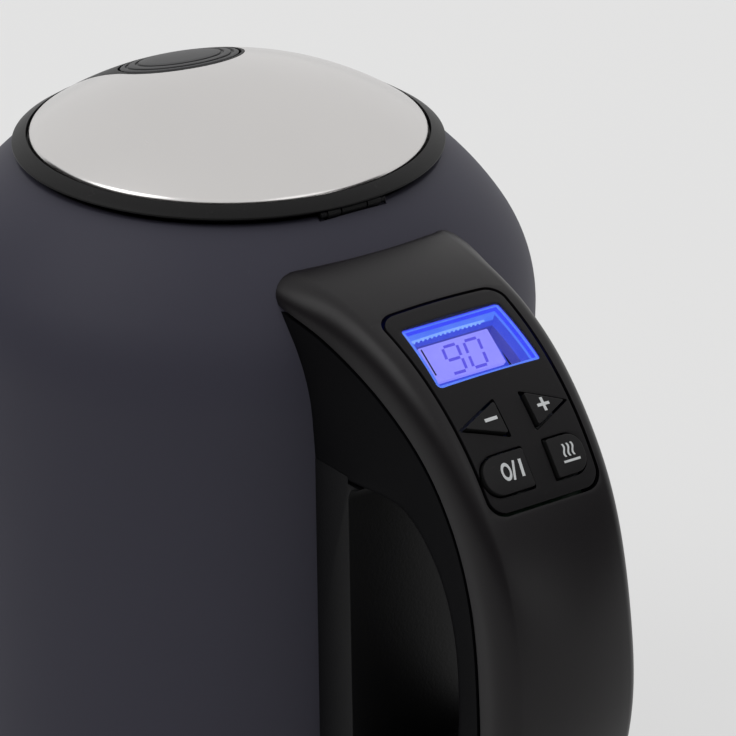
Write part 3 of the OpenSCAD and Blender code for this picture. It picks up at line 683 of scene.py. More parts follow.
def bodyOutline(inset, top, low):
    b = kettleBody
    join = radians(b["joinAngle"])
    belly = (b["bellyR"] - b["bellyArc"], b["bellyZ"])
    lean = b["bellyArc"] - b["shoulderArc"]
    shoulder = (belly[0] + lean * cos(join), belly[1] + lean * sin(join))
    outer = b["shoulderArc"] - inset
    start = asin((top - shoulder[1]) / outer)
    line = [(shoulder[0] + outer * cos(a), shoulder[1] + outer * sin(a))
            for a in (start + (join - start) * i / 10 for i in range(10))]
    inner = b["bellyArc"] - inset
    line += [(belly[0] + inner * cos(a), belly[1] + inner * sin(a))
             for a in (join * (1 - i / 14) for i in range(15))]
    for i in range(1, 9):
        z = b["bellyZ"] + (low - b["bellyZ"]) * i / 8
        line.append((sideRadius(z, inset), z))
    return line


def sideRadius(z, inset=0.0):
    b = kettleBody
    return b["bellyR"] - inset - (b["bellyZ"] - z) * (b["bellyR"] - b["footR"]) / (b["bellyZ"] - b["footZ"])


def bodyVolume(grow):
    top = rimZ - kettleBody["lipDrop"] + kettleBody["pastLip"]
    low = kettleBody["footZ"] - kettleBody["pastFoot"]
    return asObject(lathe([(0, top)] + bodyOutline(-grow, top, low) + [(0, low)], closed=False))


def hingeNotch():
    x, z = kettleBody["hinge"]
    return asObject(rod(kettleBody["hingeNotch"], 2 * kettleBody["hingeNotchHalf"], 48, (x, 0, z), (90, 0, 0)))


def makeBody():
    b = kettleBody
    lip = rimZ - b["lipDrop"]
    wall = bodyOutline(0, lip, b["footZ"]) + bodyOutline(b["skin"], lip, b["footZ"])[::-1]
    bm = lathe(wall, 192)
    roundEdges(bm, 0.35, 3)
    made = asObject(bm)
    carve(made, hingeNotch())
    x, (deep, half, start, end) = b["hinge"][0], b["hingeRoom"]
    carve(made, asObject(box(x - deep, x, -half, half, rimZ - start, rimZ - end)))
    r, x, z, turn = b["spoutHole"]
    carve(made, asObject(rod(r, 30, 64, (x, 0, z), (0, turn, 0))))
    finishPiece(made, "bodyShell", "kettle", "slateSoftPaint", ["body_skin"])


makeBody()
print("stage: kettle body")


# ---- lid ----
lid = {
    # barrel is (radius, half length); undercut is how far in and its height; stem is (radius, height)
    "domeR": 48.5, "domeH": 15.0, "edgeR": 1.7, "domeWall": 0.9, "ringR": 52.6, "ringInner": 49.1,
    "ringTop": 184.75, "ringEdge": 182.55, "ringLow": 180.9, "barrel": (1.15, 3.5), "pinHole": 0.56,
    "domeLow": 182.7, "ringInnerLow": 182.6, "ringBore": 40.4, "ringSide": 182.1, "undercut": (2.0, 181.5),
    "badgeX": -21.0, "badgeR": 14.6, "badgeGap": 0.6, "badgeThick": 2.4, "badgeSunk": 0.02,
    "tongueR": 16.0, "tongueRim": 18.9, "tongueWall": 2.2, "tongueGap": 0.18,
    "grooves": (13.0, 10.5), "grooveHalf": 0.42, "grooveDeep": 0.45,
    "stem": [(0, 175.7), (1.2, 175.7), (3.2, 177.7), (3.2, 195.4), (0, 195.4)],
}
ballR = (lid["domeR"] ** 2 + lid["domeH"] ** 2) / (2 * lid["domeH"])
ballZ = rimZ + lid["domeH"] - ballR


def domeOutline(wall):
    e = lid["edgeR"]
    outer, centre = lid["domeR"], (lid["domeR"] - e, ballZ + sqrt((ballR - e) ** 2 - (lid["domeR"] - e) ** 2))
    join = atan2(centre[1] - ballZ, centre[0])
    arc = [(ballR * sin(a), ballZ + ballR * cos(a)) for a in ((pi / 2 - join) * i / 40 for i in range(41))]
    edge = [(centre[0] + e * cos(a), centre[1] + e * sin(a)) for a in (join * (1 - i / 9) for i in range(1, 10))]
    inner = ballR - wall
    reach = asin((outer - wall) / inner)
    under = [(inner * sin(a), ballZ + inner * cos(a)) for a in (reach * (1 - i / 40) for i in range(41))]
    return arc + edge + [(outer, lid["domeLow"]), (outer - wall, lid["domeLow"])] + under


def tonguePrism(inset):
    half, rim = lid["tongueR"] - inset, lid["tongueRim"] - inset
    x = lid["badgeX"]
    made = asObject(prism([(x, half), (-60, rim), (-60, -rim), (x, -half)], 150, 230))
    return carve(made, asObject(rod(half, 80, 128, (x, 0, 190))), "UNION")


def makeDome():
    dome = asObject(lathe(domeOutline(lid["domeWall"]), 192, closed=False))
    carve(dome, tonguePrism(0))
    roundObject(dome, 0.12, 2, 55)
    finishPiece(dome, "lidDome", "lid", "satinDomeSteel", ["lid_dome"])


def makeTongue():
    tongue = asObject(lathe(domeOutline(lid["tongueWall"]), 192, closed=False))
    carve(tongue, tonguePrism(lid["tongueGap"]), "INTERSECT")
    carve(tongue, asObject(rod(lid["badgeR"] + lid["badgeGap"], 80, 128, (lid["badgeX"], 0, 190))))
    roundObject(tongue, 0.22, 2, 50)
    finishPiece(tongue, "lidTongue", "lid", "tongueSatinBlack", ["lid_tongue"])


def makeRing():
    # a bevel, a thin lip and a dark undercut below it
    r, low, inside, bore = lid["ringR"], lid["ringLow"], lid["ringInnerLow"], lid["ringBore"]
    under, underZ = lid["undercut"]
    bevelled = lathe([(lid["ringInner"], inside), (lid["ringInner"], lid["ringTop"]), (r, lid["ringEdge"]),
                      (r, lid["ringSide"]), (r - under, underZ), (r - under - 0.2, low), (bore, low),
                      (bore, inside)], 192)
    roundEdges(bevelled, 0.16, 3, 30)
    ring = asObject(bevelled)
    carve(ring, hingeNotch())
    x, z = kettleBody["hinge"]
    barrelR, half = lid["barrel"]
    barrel = asObject(rod(barrelR, 2 * half, 48, (x, 0, z), (90, 0, 0)))
    carve(barrel, asObject(roundEdges(box(x - 1, x + 0.5, 0.2 - half, half - 0.2, z, z + 1.75), 0.1)), "UNION")
    carve(ring, barrel, "UNION")
    carve(ring, asObject(rod(lid["pinHole"], 2 * half + 1, 32, (x, 0, z), (90, 0, 0))))
    finishPiece(ring, "lidRing", "lid", "ringSatinBlack", ["lid_ring"])


def onDome(p):
    # lays a flat shape on the dome, with its middle at the badge's place
    x = p.x + lid["badgeX"]
    return Vector((x, p.y, p.z + ballZ + sqrt(ballR ** 2 - x ** 2 - p.y ** 2) - lid["badgeSunk"]))


def makeBadge():
    # the badge is drawn flat, with its ring grooves, and then laid on the dome
    r, deep, thick = lid["badgeR"], lid["grooveDeep"], lid["badgeThick"]
    line = [(0, 0)]
    for g in reversed(lid["grooves"]):
        a, b = g - lid["grooveHalf"], g + lid["grooveHalf"]
        line += [(x, 0) for x in (a * 0.4, a * 0.8) if x > line[-1][0]]
        line += [(a, 0), (a + 0.08, -deep), (b - 0.08, -deep), (b, 0)]
    line += [(r - 0.3, 0), (r - 0.06, -0.12), (r, -0.4), (r, -thick), (r * 0.6, -thick), (0, -thick)]
    bm = lathe(line, 128, closed=False)
    roundEdges(bm, 0.06, 2, 45, lambda e: all(v.co.z > -0.6 and hypot(v.co.x, v.co.y) < r - 0.9 for v in e.verts))
    badge = asObject(reshape(bm, onDome))
    stem = lathe(lid["stem"], 48, closed=False)
    bmesh.ops.translate(stem, vec=(lid["badgeX"], 0, 0), verts=stem.verts)
    carve(badge, asObject(stem), "UNION")
    finishPiece(badge, "lidBadge", "lid_button", "badgeGrey", ["lid_button"])


# travel is the badge's, and spare is the room between the pressed badge and the coil
lidSpring = {"coilR": 5.4, "wire": 0.38, "turns": 6, "travel": 2.0, "spare": 0.15, "stepsATurn": 40}


def makeLidSpring():
    # one open coil under the badge
    low, high = (c.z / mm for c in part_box("lid_spring"))
    wire, turns = lidSpring["wire"], lidSpring["turns"]
    steps = turns * lidSpring["stepsATurn"]
    rise = (high - low - 2 * wire) / steps
    bm = bmesh.new()
    place = Matrix.Translation((lidSpring["coilR"], 0, low + wire)) @ Matrix.Rotation(pi / 2, 4, "X")
    bmesh.ops.create_circle(bm, segments=12, radius=wire, cap_ends=False, matrix=place)
    bmesh.ops.spin(bm, geom=bm.verts[:] + bm.edges[:], cent=(0, 0, 0), axis=(0, 0, 1), dvec=(0, 0, rise),
                   angle=2 * pi * turns, steps=steps)
    bmesh.ops.remove_doubles(bm, verts=bm.verts, dist=1e-4)
    bmesh.ops.holes_fill(bm, edges=bm.edges, sides=12)
    bmesh.ops.recalc_face_normals(bm, faces=bm.faces)
    bmesh.ops.translate(bm, vec=(lid["badgeX"], 0, 0), verts=bm.verts)
    coil = finishPiece(asObject(bm), "lidSpringCoil", "lid", "screwZinc", ["lid_spring"])
    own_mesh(coil)


makeDome()
makeTongue()
makeRing()
makeBadge()
makeLidSpring()
print("stage: lid")


# ---- handle ----
handle = {
    # side view curves of the face, the seam and the finger gap, upper then lower half
    "top": [(59.6, 173.2), (121, 169.7), (141, 119), (141, 86)],
    "low": [(141, 86), (141, 58), (124, 30), (92, 30)],
    "seamTop": [(58, 166.6), (103, 153.0), (122.3, 144.2), (128, 82)],
    "seamLow": [(128, 82), (130, 60), (116, 41), (88, 41)],
    "gapTop": [(83.6, 128.6), (108.7, 128.7), (117, 108), (117, 80)],
    "gapLow": [(117, 80), (117, 62), (108, 53), (83.6, 53)],
    # the three lines start and end inside the body, at these heights
    "start": 52.0, "faceEnds": (173.55, 30), "seamEnds": (166.4, 41), "gapEnds": (128.6, 53),
    # the first stations, beside the body, lie closer together
    "nearStations": 22, "nearShare": 0.045, "stations": 140,
    "wall": 1.5, "innerWall": 1.3, "edge": 0.3, "clear": 0.12,
    "edgeR": 4.4, "backEdgeR": 6.6, "backRun": 30, "edgeDeep": 8.0, "gapR": 4.2, "stripCornerR": 1.5,
    "seamGap": 1.2, "lipDeep": 2.6, "lipInset": 2.35, "lipWall": 0.4,
    "bodyR": 59.7, "backRoll": 2.2, "rollDeep": 12, "rollAbove": 150, "flare": 0.7, "swell": 1.3,
    # a spot on the gap's upper face, which has to face down
    "gapSpot": (104, 0, 128.6),
    # crown of the face at 20 mm to the side, before and after it changes along the run
    "crown": 1.1, "gripCrown": 3.2, "crownFrom": 80, "crownOver": 40,
    # from here outward the inner shell leaves its sharp corner and the strip's width, over these lengths
    "softFrom": 84, "sharpOver": 14, "stripOver": 16,
    "shellScrews": (62, 104),
    # half width at run lengths from the body along the top face
    "widths": [(0, 26.8), (16, 24.9), (36, 23.5), (46, 22.9), (55, 22.3), (65, 21.7), (76, 21.2), (88, 20.6),
               (101, 20.1), (114, 19.9), (130, 19.9), (156, 20.0), (180, 20.3), (235, 21.2)],
}
topLine = curveLine(handle["top"], 160)
topRun = runLengths(topLine)
strip = {
    "back": 66, "face": 83.6, "half": 24.8, "low": 30.0, "top": 128.4, "tongue": 130.2, "round": 2.2,
    "hollow": 4.4, "draw": 0.075,
}


def stripHalf(z):
    # the strip draws in a little towards the bottom
    return strip["half"] * (1 - strip["draw"] * (strip["top"] - z) / (strip["top"] - strip["low"]))


def crownFall(y, run=0.0):
    # the face is a little rounded from side to side, and rounder on the grip below the panel
    grip = ease((run - handle["crownFrom"]) / handle["crownOver"])
    return (handle["crown"] + (handle["gripCrown"] - handle["crown"]) * grip) * (y / 20) ** 2


def onHandle(p):
    # lays x along the handle's top face, y across it and z out of it
    (x, z), (tx, tz) = atLength(topLine, topRun, p.x)
    out = p.z - crownFall(p.y)
    return Vector((x - tz * out, p.y, z + tx * out))


def sideLine(top, low, ends):
    line = [(handle["start"], ends[0])] + curveLine(top, 120) + curveLine(low, 90)[1:] + [(handle["start"], ends[1])]
    return line, runLengths(line)


def outerSide(half, flare, split, run):
    # half of the outer shell's section, from the middle of the face to the seam, as (depth, side)
    back = max(0.0, 1 - max(run, 0.0) / handle["backRun"])
    r = handle["edgeR"] + (handle["backEdgeR"] - handle["edgeR"]) * back
    end = split - handle["seamGap"] / 2
    deep = min(handle["edgeDeep"], end - 0.8)
    flank = [(deep - deep * cos(a), half - r + r * sin(a)) for a in quarter(10)]
    flank += [(deep + (end - deep) * k / 4, half) for k in range(1, 5)]
    # the flare is spread over the whole depth, so no ledge shows beside the body
    return [(0, (half - r) * k / 5) for k in range(6)] + [(d, y + flare * d / end) for d, y in flank]


def innerSide(half, flare, split, depth, gapX, gapZ, u):
    # half of the inner shell's section, from the seam to the middle of the gap's face
    beyond = gapX - handle["softFrom"]
    sharp = handle["stripCornerR"]
    r = sharp + (handle["gapR"] - sharp) * min(1.0, max(0.0, beyond / handle["sharpOver"]))
    begin, low = split + handle["seamGap"] / 2, depth - r
    # the flank swells out to the strip's width where it lands on the strip
    near = 1 - ease(beyond / handle["stripOver"])
    flat, foot = half + flare, (half - 0.5) * (1 - near) + stripHalf(gapZ) * near
    swell = handle["swell"] * max(0.0, 1 - u * 6)
    side = [(begin + (low - begin) * t, flat + (foot - flat) * t ** 1.5 + swell * sin(pi * t))
            for t in (k / 8 for k in range(9))]
    last = side[-1][1]
    side += [(low + r * sin(a), last - r + r * cos(a)) for a in quarter(7)]
    return side + [(depth, (last - r) * (1 - k / 4)) for k in range(1, 5)]


def handleRows(part):
    # sections across the handle; part is outer, inner, or -1 or 1 for the lip behind the seam on that side
    outer, outerRun = sideLine(handle["top"], handle["low"], handle["faceEnds"])
    seam, seamRun = sideLine(handle["seamTop"], handle["seamLow"], handle["seamEnds"])
    gap, gapRun = sideLine(handle["gapTop"], handle["gapLow"], handle["gapEnds"])
    before = hypot(handle["top"][0][0] - handle["start"], handle["top"][0][1] - handle["faceEnds"][0])
    rows = []
    dense, n, close = handle["nearStations"], handle["stations"], handle["nearShare"]
    for u in [close * i / dense for i in range(dense)] + [close + (1 - close) * i / n for i in range(n + 1)]:
        (ox, oz), _ = atLength(outer, outerRun, u * outerRun[-1])
        (sx, sz), _ = atLength(seam, seamRun, u * seamRun[-1])
        (ix, iz), _ = atLength(gap, gapRun, u * gapRun[-1])
        run = u * outerRun[-1] - before
        half = easeTable(handle["widths"], run)
        depth = hypot(ix - ox, iz - oz)
        dx, dz = (ix - ox) / depth, (iz - oz) / depth
        split = (sx - ox) * dx + (sz - oz) * dz
        flare = handle["flare"] * max(0.0, 1 - u * 3)

        def spot(d, y):
            # the top face falls a little to both sides and rolls down where it meets the body
            fall = crownFall(y, run)
            reach, roll = hypot(ox, y) - handle["bodyR"], handle["backRoll"]
            if oz > handle["rollAbove"] and reach < roll:
                fall += roll - sqrt(roll ** 2 - (roll - max(reach, 0.0)) ** 2)
            fall *= max(0.0, 1 - d / handle["rollDeep"])
            return Vector((ox + dx * (d + fall), y, oz + dz * (d + fall)))

        if part == "outer":
            side = outerSide(half, flare, split, run)
            rows.append([spot(d, -y) for d, y in side[::-1]] + [spot(d, y) for d, y in side[1:]])
        elif part == "inner":
            side = innerSide(half, flare, split, depth, ix, iz, u)
            rows.append([spot(d, y) for d, y in side] + [spot(d, -y) for d, y in side[::-1][1:]])
        else:
            deep, y = handle["lipDeep"], (half + flare - handle["lipInset"]) * part
            rows.append([spot(split - deep + 2 * deep * k / 3, y) for k in range(4)])
    return rows


def handleShell(part, amount):
    bm = gridSheet(handleRows(part))
    bmesh.ops.recalc_face_normals(bm, faces=bm.faces)
    # the open sheet is turned so that its outside faces away from the wall to come
    if part == "outer":
        wrong = max(bm.faces, key=lambda f: f.calc_center_median().z).normal.z < 0
    else:
        spot = Vector(handle["gapSpot"])
        wrong = min(bm.faces, key=lambda f: (f.calc_center_median() - spot).length).normal.z > 0
    if wrong:
        bmesh.ops.reverse_faces(bm, faces=bm.faces)
    return thicken(asObject(bm), amount)


def stripBlock(grow):
    half = strip["half"] + 1.2
    return asObject(box(50, strip["face"] + grow, -half, half, strip["low"] - grow, strip["tongue"] + grow))


panel = {
    # places down the panel are run lengths along the handle's face
    "from": 25.3, "to": 82.0, "halfTop": 17.3, "halfLow": 15.6, "corner": 4.2, "thick": 1.6,
    "groove": 0.8, "seat": 1.75, "ledge": 2.2,
    "window": (30.6, 49.0), "windowHalf": (14.1, 14.8), "windowCorner": 1.3, "keyGap": 0.6,
}


def panelPoints(inset):
    a, b = panel["from"] + inset, panel["to"] - inset
    return [(a, inset - panel["halfTop"]), (b, inset - panel["halfLow"]),
            (b, panel["halfLow"] - inset), (a, panel["halfTop"] - inset)]


def windowPoints(inset):
    (a, b), (top, low) = panel["window"], panel["windowHalf"]
    a, b, top, low = a + inset, b - inset, top - inset, low - inset
    return [(a, -top), (b, -low), (b, low), (a, top)]


def layOnHandle(bm, low, high, step=1.5):
    sliceAcross(sliceAcross(bm, low, high, step), -18, 18, 3, (0, 1, 0))
    return asObject(reshape(bm, onHandle))


def panelTool(inset, low, high):
    bm = prism(panelPoints(inset), low, high, panel["corner"] - inset, 10)
    return layOnHandle(bm, panel["from"] - 2, panel["to"] + 2)


def makeHandle():
    outer = handleShell("outer", handle["wall"])
    carve(outer, bodyVolume(handle["clear"]))
    carve(outer, stripBlock(0.1))
    # a shallow seat for the panel's edge, and an opening through the wall behind it
    carve(outer, panelTool(-panel["groove"] / 2, -panel["seat"], 4))
    carve(outer, panelTool(panel["ledge"], -6, 4))
    roundObject(outer, handle["edge"], 3, 50)
    finishPiece(outer, "handleOuter", "kettle", "handleSoftBlack", ["handle_outer_shell"])

    inner = handleShell("inner", handle["innerWall"])
    # the wall folds over itself inside the tight corners beside the strip
    carve(inner, bodyVolume(handle["clear"]), foldsOver=True)
    carve(inner, stripBlock(0.1), foldsOver=True)
    carve(inner, asObject(rod(2.2, 14, 32, (79.4, 0, 130))))  # the wires' way in
    for z in handle["shellScrews"]:
        carve(inner, asObject(rod(2.9, 8, 32, (117, 0, z), (0, 90, 0))))
    roundObject(inner, handle["edge"], 3, 50)
    finishPiece(inner, "handleInner", "kettle", "innerSoftBlack", ["handle_inner_shell"])

    for side, name in ((-1, "seamLipLeft"), (1, "seamLipRight")):
        bm = gridSheet(handleRows(side))
        bmesh.ops.recalc_face_normals(bm, faces=bm.faces)
        lip = thicken(asObject(bm), handle["lipWall"])
        carve(lip, bodyVolume(0.2))
        carve(lip, stripBlock(0.2))
        finishPiece(lip, name, "kettle", "grooveBlack")


makeHandle()
print("stage: handle shells")


def makeStrip():
    # a hollow curve carries the strip's face into the underside of the block above it
    face, low, top, r = strip["face"], strip["low"], strip["top"], strip["hollow"]
    line = [(strip["back"], low), (face, low)]
    line += [(face + r - r * cos(a), top - r + r * sin(a)) for a in quarter(8, 0)]
    line += [(face, top), (face, strip["tongue"]), (strip["back"], strip["tongue"])]
    bm = prism(line, -strip["half"], strip["half"])
    # the outline stands up across the strip
    reshape(bm, lambda p: Vector((p.x, p.z * stripHalf(p.y) / strip["half"], p.y)))
    bmesh.ops.recalc_face_normals(bm, faces=bm.faces)
    roundEdges(bm, strip["round"], 4, 38, lambda e: all(abs(v.co.y) > 20 and v.co.x > 80 for v in e.verts)
               and abs(e.verts[0].co.y - e.verts[1].co.y) < 5 and all(v.co.z < top - 0.4 for v in e.verts))
    made = asObject(bm)
    carve(made, bodyVolume(0.05))
    finishPiece(made, "handleStrip", "kettle", "stripGrainBlack", ["handle_strip"])


makeStrip()
print("stage: strip")


# ---- control panel ----
keys = {
    # outlines are (down the panel, across it); reach is from a triangle's middle to its sides
    "minus": {"points": [(56.2, -4.3), (64.4, -4.3), (60.3, -14.3)], "corner": 0.7},
    "plus": {"points": [(64.7, 4.2), (56.3, 4.2), (60.6, 13.9)], "corner": 0.7},
    "reach": 2.35,
    "power": {"side": -1, "near": 2.8, "far": 14.9, "corner": 4.3, "shift": 0},
    "warm": {"side": 1, "near": 2.8, "far": 13.5, "corner": 3.9, "shift": 1.2},
    "rounded": (68.4, 77.6), "nearCorner": 0.6,
    "triangleRow": 60.3, "roundedRow": 73.0, "high": 0.9, "edge": 0.22, "low": -3.0,
}


def roundedKey(name, grow, low):
    # one straight end near the middle of the panel and one round end
    key = keys[name]
    side, (a, b) = key["side"], keys["rounded"]
    a, b, near, far = a - grow, b + grow, (key["near"] - grow) * side, (key["far"] + grow) * side
    near += key["shift"]
    points = [(a, near), (b, near), (b, far), (a, far)]
    bm = bmesh.new()
    bm.faces.new([bm.verts.new((x, y, low)) for x, y in (points if side < 0 else points[::-1])])
    roundCorners(bm, [v for v in bm.verts if abs(v.co.y) > 10], key["corner"] + grow, 12)
    roundCorners(bm, [v for v in bm.verts if abs(v.co.y) < 6], keys["nearCorner"], 4)
    return bm


def keySolid(name, grow, low, high):
    if name in ("power", "warm"):
        return raiseUp(roundedKey(name, grow, low), high - low)
    points = [Vector(p) for p in keys[name]["points"]]
    middle = sum(points, Vector((0, 0))) / 3
    grown = [middle + (p - middle) * (1 + grow / keys["reach"]) for p in points]
    return prism([tuple(p) for p in grown], low, high, keys[name]["corner"], 5)


def onRow(p, row):
    # a key stays flat, as one stiff cap, on the panel's slope at its own row
    (x, z), (tx, tz) = atLength(topLine, topRun, row)
    d, out = p.x - row, p.z - crownFall(p.y)
    return Vector((x + tx * d - tz * out, p.y, z + tz * d + tx * out))


keyBodies = {"minus": "button_minus", "plus": "button_plus", "power": "button_power", "warm": "button_keep_warm"}


def makePanel():
    plate = prism(panelPoints(panel["groove"] / 2), -panel["thick"], 0, panel["corner"], 12)
    roundEdges(plate, 0.22, 3, 60, lambda e: all(v.co.z > -0.1 for v in e.verts))
    made = asObject(plate)
    carve(made, asObject(prism(windowPoints(0), -5, 5, panel["windowCorner"], 6)))
    for name in keyBodies:
        carve(made, asObject(keySolid(name, panel["keyGap"], -6, 6)))
    bm = asMesh(made)
    roundEdges(bm, 0.18, 2, 60, lambda e: all(v.co.z > -0.01 for v in e.verts)
               and all(panel["from"] + 2 < v.co.x < panel["to"] - 2 and abs(v.co.y) < 15.2 for v in e.verts))
    bpy.data.objects.remove(made)
    finishPiece(layOnHandle(bm, panel["from"], panel["to"]), "controlPanel", "kettle", "panelSoftBlack",
                ["control_panel"])

    for name, body in keyBodies.items():
        bm = keySolid(name, 0, keys["low"], keys["high"])
        roundEdges(bm, keys["edge"], 3, 60, lambda e: all(v.co.z > keys["high"] - 0.01 for v in e.verts))
        for face in bm.faces:
            face.material_index = 0 if face.normal.z > 0.25 else 1  # painted shade: the sides take the near-black groove finish
        row = keys["triangleRow"] if name in ("minus", "plus") else keys["roundedRow"]
        finishPiece(asObject(reshape(bm, lambda p: onRow(p, row))), name + "Key", body,
                    ["keySoftBlack", "grooveBlack"], [body])


makePanel()

symbols = {
    "stroke": 0.74, "raise": 0.07, "sunk": 0.03,
    # the warm-air curls above the dish, from left to right
    "curls": (7.8, 9.05, 10.3),
}


def bar(x0, y0, x1, y1, width, low, high):
    # a straight stroke from one point to another; y runs to the right, x down
    d = Vector((x1 - x0, y1 - y0)).normalized() * width / 2
    n = Vector((-d.y, d.x))
    return prism([(x0 - n.x, y0 - n.y), (x1 - n.x, y1 - n.y), (x1 + n.x, y1 + n.y), (x0 + n.x, y0 + n.y)], low, high)


def ovalRing(x, y, long, wide, stroke, low, high, lean=0.0):
    bm = lathe([(1 - stroke, low), (1, low), (1, high), (1 - stroke, high)], 48)
    return reshape(bm, lambda p: Vector((x + p.x * long, y + p.y * wide - p.x * lean, p.z)))


def waveStroke(x, y, length, swing, width, low, high):
    # one rising curl of warm air
    n = 16
    rows = []
    for i in range(n + 1):
        t = i / n
        cx = x - length / 2 + length * t
        cy = y + swing * sin(2 * pi * t)
        rows.append([Vector((cx, cy - width / 2, low)), Vector((cx, cy + width / 2, low))])
    return raiseUp(gridSheet(rows), high - low)


def makeSymbols():
    low, high, w = keys["high"] - symbols["sunk"], keys["high"] + symbols["raise"], symbols["stroke"]
    triangles, rounded = keys["triangleRow"], keys["roundedRow"]
    drawn = {
        "minus": ([bar(60.1, -8.8, 60.1, -5.4, w * 1.1, low, high)], triangles),
        "plus": ([bar(60.3, 6.1, 60.3, 9.5, w, low, high), bar(58.6, 7.8, 62.0, 7.8, w, low, high)], triangles),
        "power": ([ovalRing(72.7, -9.0, 2.15, 1.3, 0.38, low, high),
                   bar(75.0, -7.6, 70.6, -6.4, w * 0.75, low, high),
                   bar(74.8, -5.0, 70.7, -4.7, w, low, high)], rounded),
        "warm": ([waveStroke(72.0, y, 3.1, 0.28, w * 0.66, low, high) for y in symbols["curls"]]
                 + [bar(74.6, 6.7, 74.6, 11.5, w * 0.75, low, high)], rounded),
    }
    for name, (parts, row) in drawn.items():
        bm = joinMeshes(parts)
        finishPiece(asObject(reshape(bm, lambda p: onRow(p, row))), name + "Symbol", keyBodies[name],
                    "symbolWhite")


makeSymbols()
print("stage: panel, keys and symbols")


# ---- display ----
display = {
    # middle is (x, z); the rest is (down the display, across it)
    "middle": (94.0, 158.4), "slope": 38.0, "litTop": -4.4, "litLow": 5.0, "litHalf": 10.0, "thick": 1.2,
    "digitHigh": 7.1, "digitWide": 4.1, "stroke": 0.72, "gapShare": 0.62, "raise": 0.08, "lean": 0.14,
    "digits": (("abcdfg", -2.8, 0), ("abcdef", 2.4, 0.9)), "digitsTop": -3.0,
    "guard": [(-3.9, -9.45), (3.2, -9.3), (3.2, -9.02), (-3.9, -9.17)],
    "widening": 0.35, "shadeFrom": 11, "highlightTeeth": 16, "toothPitch": 1.25,
}


def onDisplay(p):
    a = radians(display["slope"])
    x, z = display["middle"]
    return Vector((x + p.x * cos(a) + p.z * sin(a), p.y, z - p.x * sin(a) + p.z * cos(a)))


def segmentDigit(which, y, top):
    # seven strokes of a display digit, with gaps between them; x runs down, y to the right
    h, w, s = display["digitHigh"], display["digitWide"], display["stroke"]
    g = s * display["gapShare"]
    strokes = {
        "a": ((0, g), (0, w - g)), "g": ((h / 2, g), (h / 2, w - g)), "d": ((h, g), (h, w - g)),
        "f": ((g, 0), (h / 2 - g, 0)), "b": ((g, w), (h / 2 - g, w)),
        "e": ((h / 2 + g, 0), (h - g, 0)), "c": ((h / 2 + g, w), (h - g, w)),
    }
    parts = [bar(top + p[0], y + p[1], top + q[0], y + q[1], s, 0.0, display["raise"])
             for p, q in (strokes[k] for k in which)]
    return [reshape(part, lambda p: Vector((p.x, p.y + (top + h - p.x) * display["lean"], p.z))) for part in parts]


def makeDisplay():
    top, low, half = display["litTop"], display["litLow"], display["litHalf"]
    lit = prism([(top, -half), (low, -half), (low, half), (top, half)], -display["thick"], 0.0, 0.3, 3)
    finishPiece(asObject(reshape(lit, onDisplay)), "displayGlass", "kettle", "litDisplay",
                ["display_glass"])
    parts = []
    for which, y, shift in display["digits"]:
        parts += segmentDigit(which, y - display["digitWide"] / 2 + shift, display["digitsTop"])
    finishPiece(asObject(reshape(joinMeshes(parts), onDisplay)), "displayDigits", "kettle", "litDigits")

    guard = prism(display["guard"], -0.6, 0.2)
    finishPiece(asObject(reshape(guard, onDisplay)), "displayGuard", "kettle", "grooveBlack")


def frameTray(a, b):
    # the light frame starts just under the window and steps down; its glows are painted light and shade: a bright
    # shelf, lit steps and dimmer, deeper walls
    steps = [
        # top, low, left and right half widths, height, which finish lies on the way down to it
        (a + 0.05, b - 0.05, -14.3, 14.3, -0.5, 0), (a + 0.35, b - 0.3, -14.1, 14.1, -0.56, 1),
        (a + 0.8, b - 1.0, -13.3, 13.5, -0.7, 2), (a + 1.1, b - 1.15, -13.1, 13.2, -1.7, 1),
        (a + 1.7, b - 1.4, -12.9, 12.9, -2.2, 2), (a + 2.1, b - 1.5, -12.7, 12.6, -3.4, 3),
        (a + 3.0, b - 1.7, -11.9, 12.0, -4.3, 4), (a + 3.7, b - 1.8, -11.6, 10.9, -6.4, 5),
    ]
    bm = bmesh.new()
    loops = []
    wide = display["widening"]  # the window is a little wider at its low end
    for top, low, left, right, z, _ in steps:
        dots = [bm.verts.new(place) for place in ((top, left + wide, z), (low, left - wide, z),
                                                  (low, right + wide, z), (top, right - wide, z))]
        loops.append([bm.edges.new(pair) for pair in zip(dots, dots[1:] + dots[:1])])
    for first, second, step in zip(loops, loops[1:], steps[1:]):
        made = bmesh.ops.bridge_loops(bm, edges=first + second)
        for face in made["faces"]:
            face.material_index = step[5]
            if step[5] in (3, 4) and face.calc_center_median().y > display["shadeFrom"]:
                face.material_index = 4  # painted shade: the right wall gets a dimmer glow
    bmesh.ops.recalc_face_normals(bm, faces=bm.faces)
    if sum(f.normal.z for f in bm.faces) < 0:
        bmesh.ops.reverse_faces(bm, faces=bm.faces)
    bmesh.ops.solidify(bm, geom=bm.faces[:], thickness=0.5)
    bmesh.ops.recalc_face_normals(bm, faces=bm.faces)
    return asObject(reshape(sliceAcross(bm, a - 1, b + 1, 2.0), onHandle))


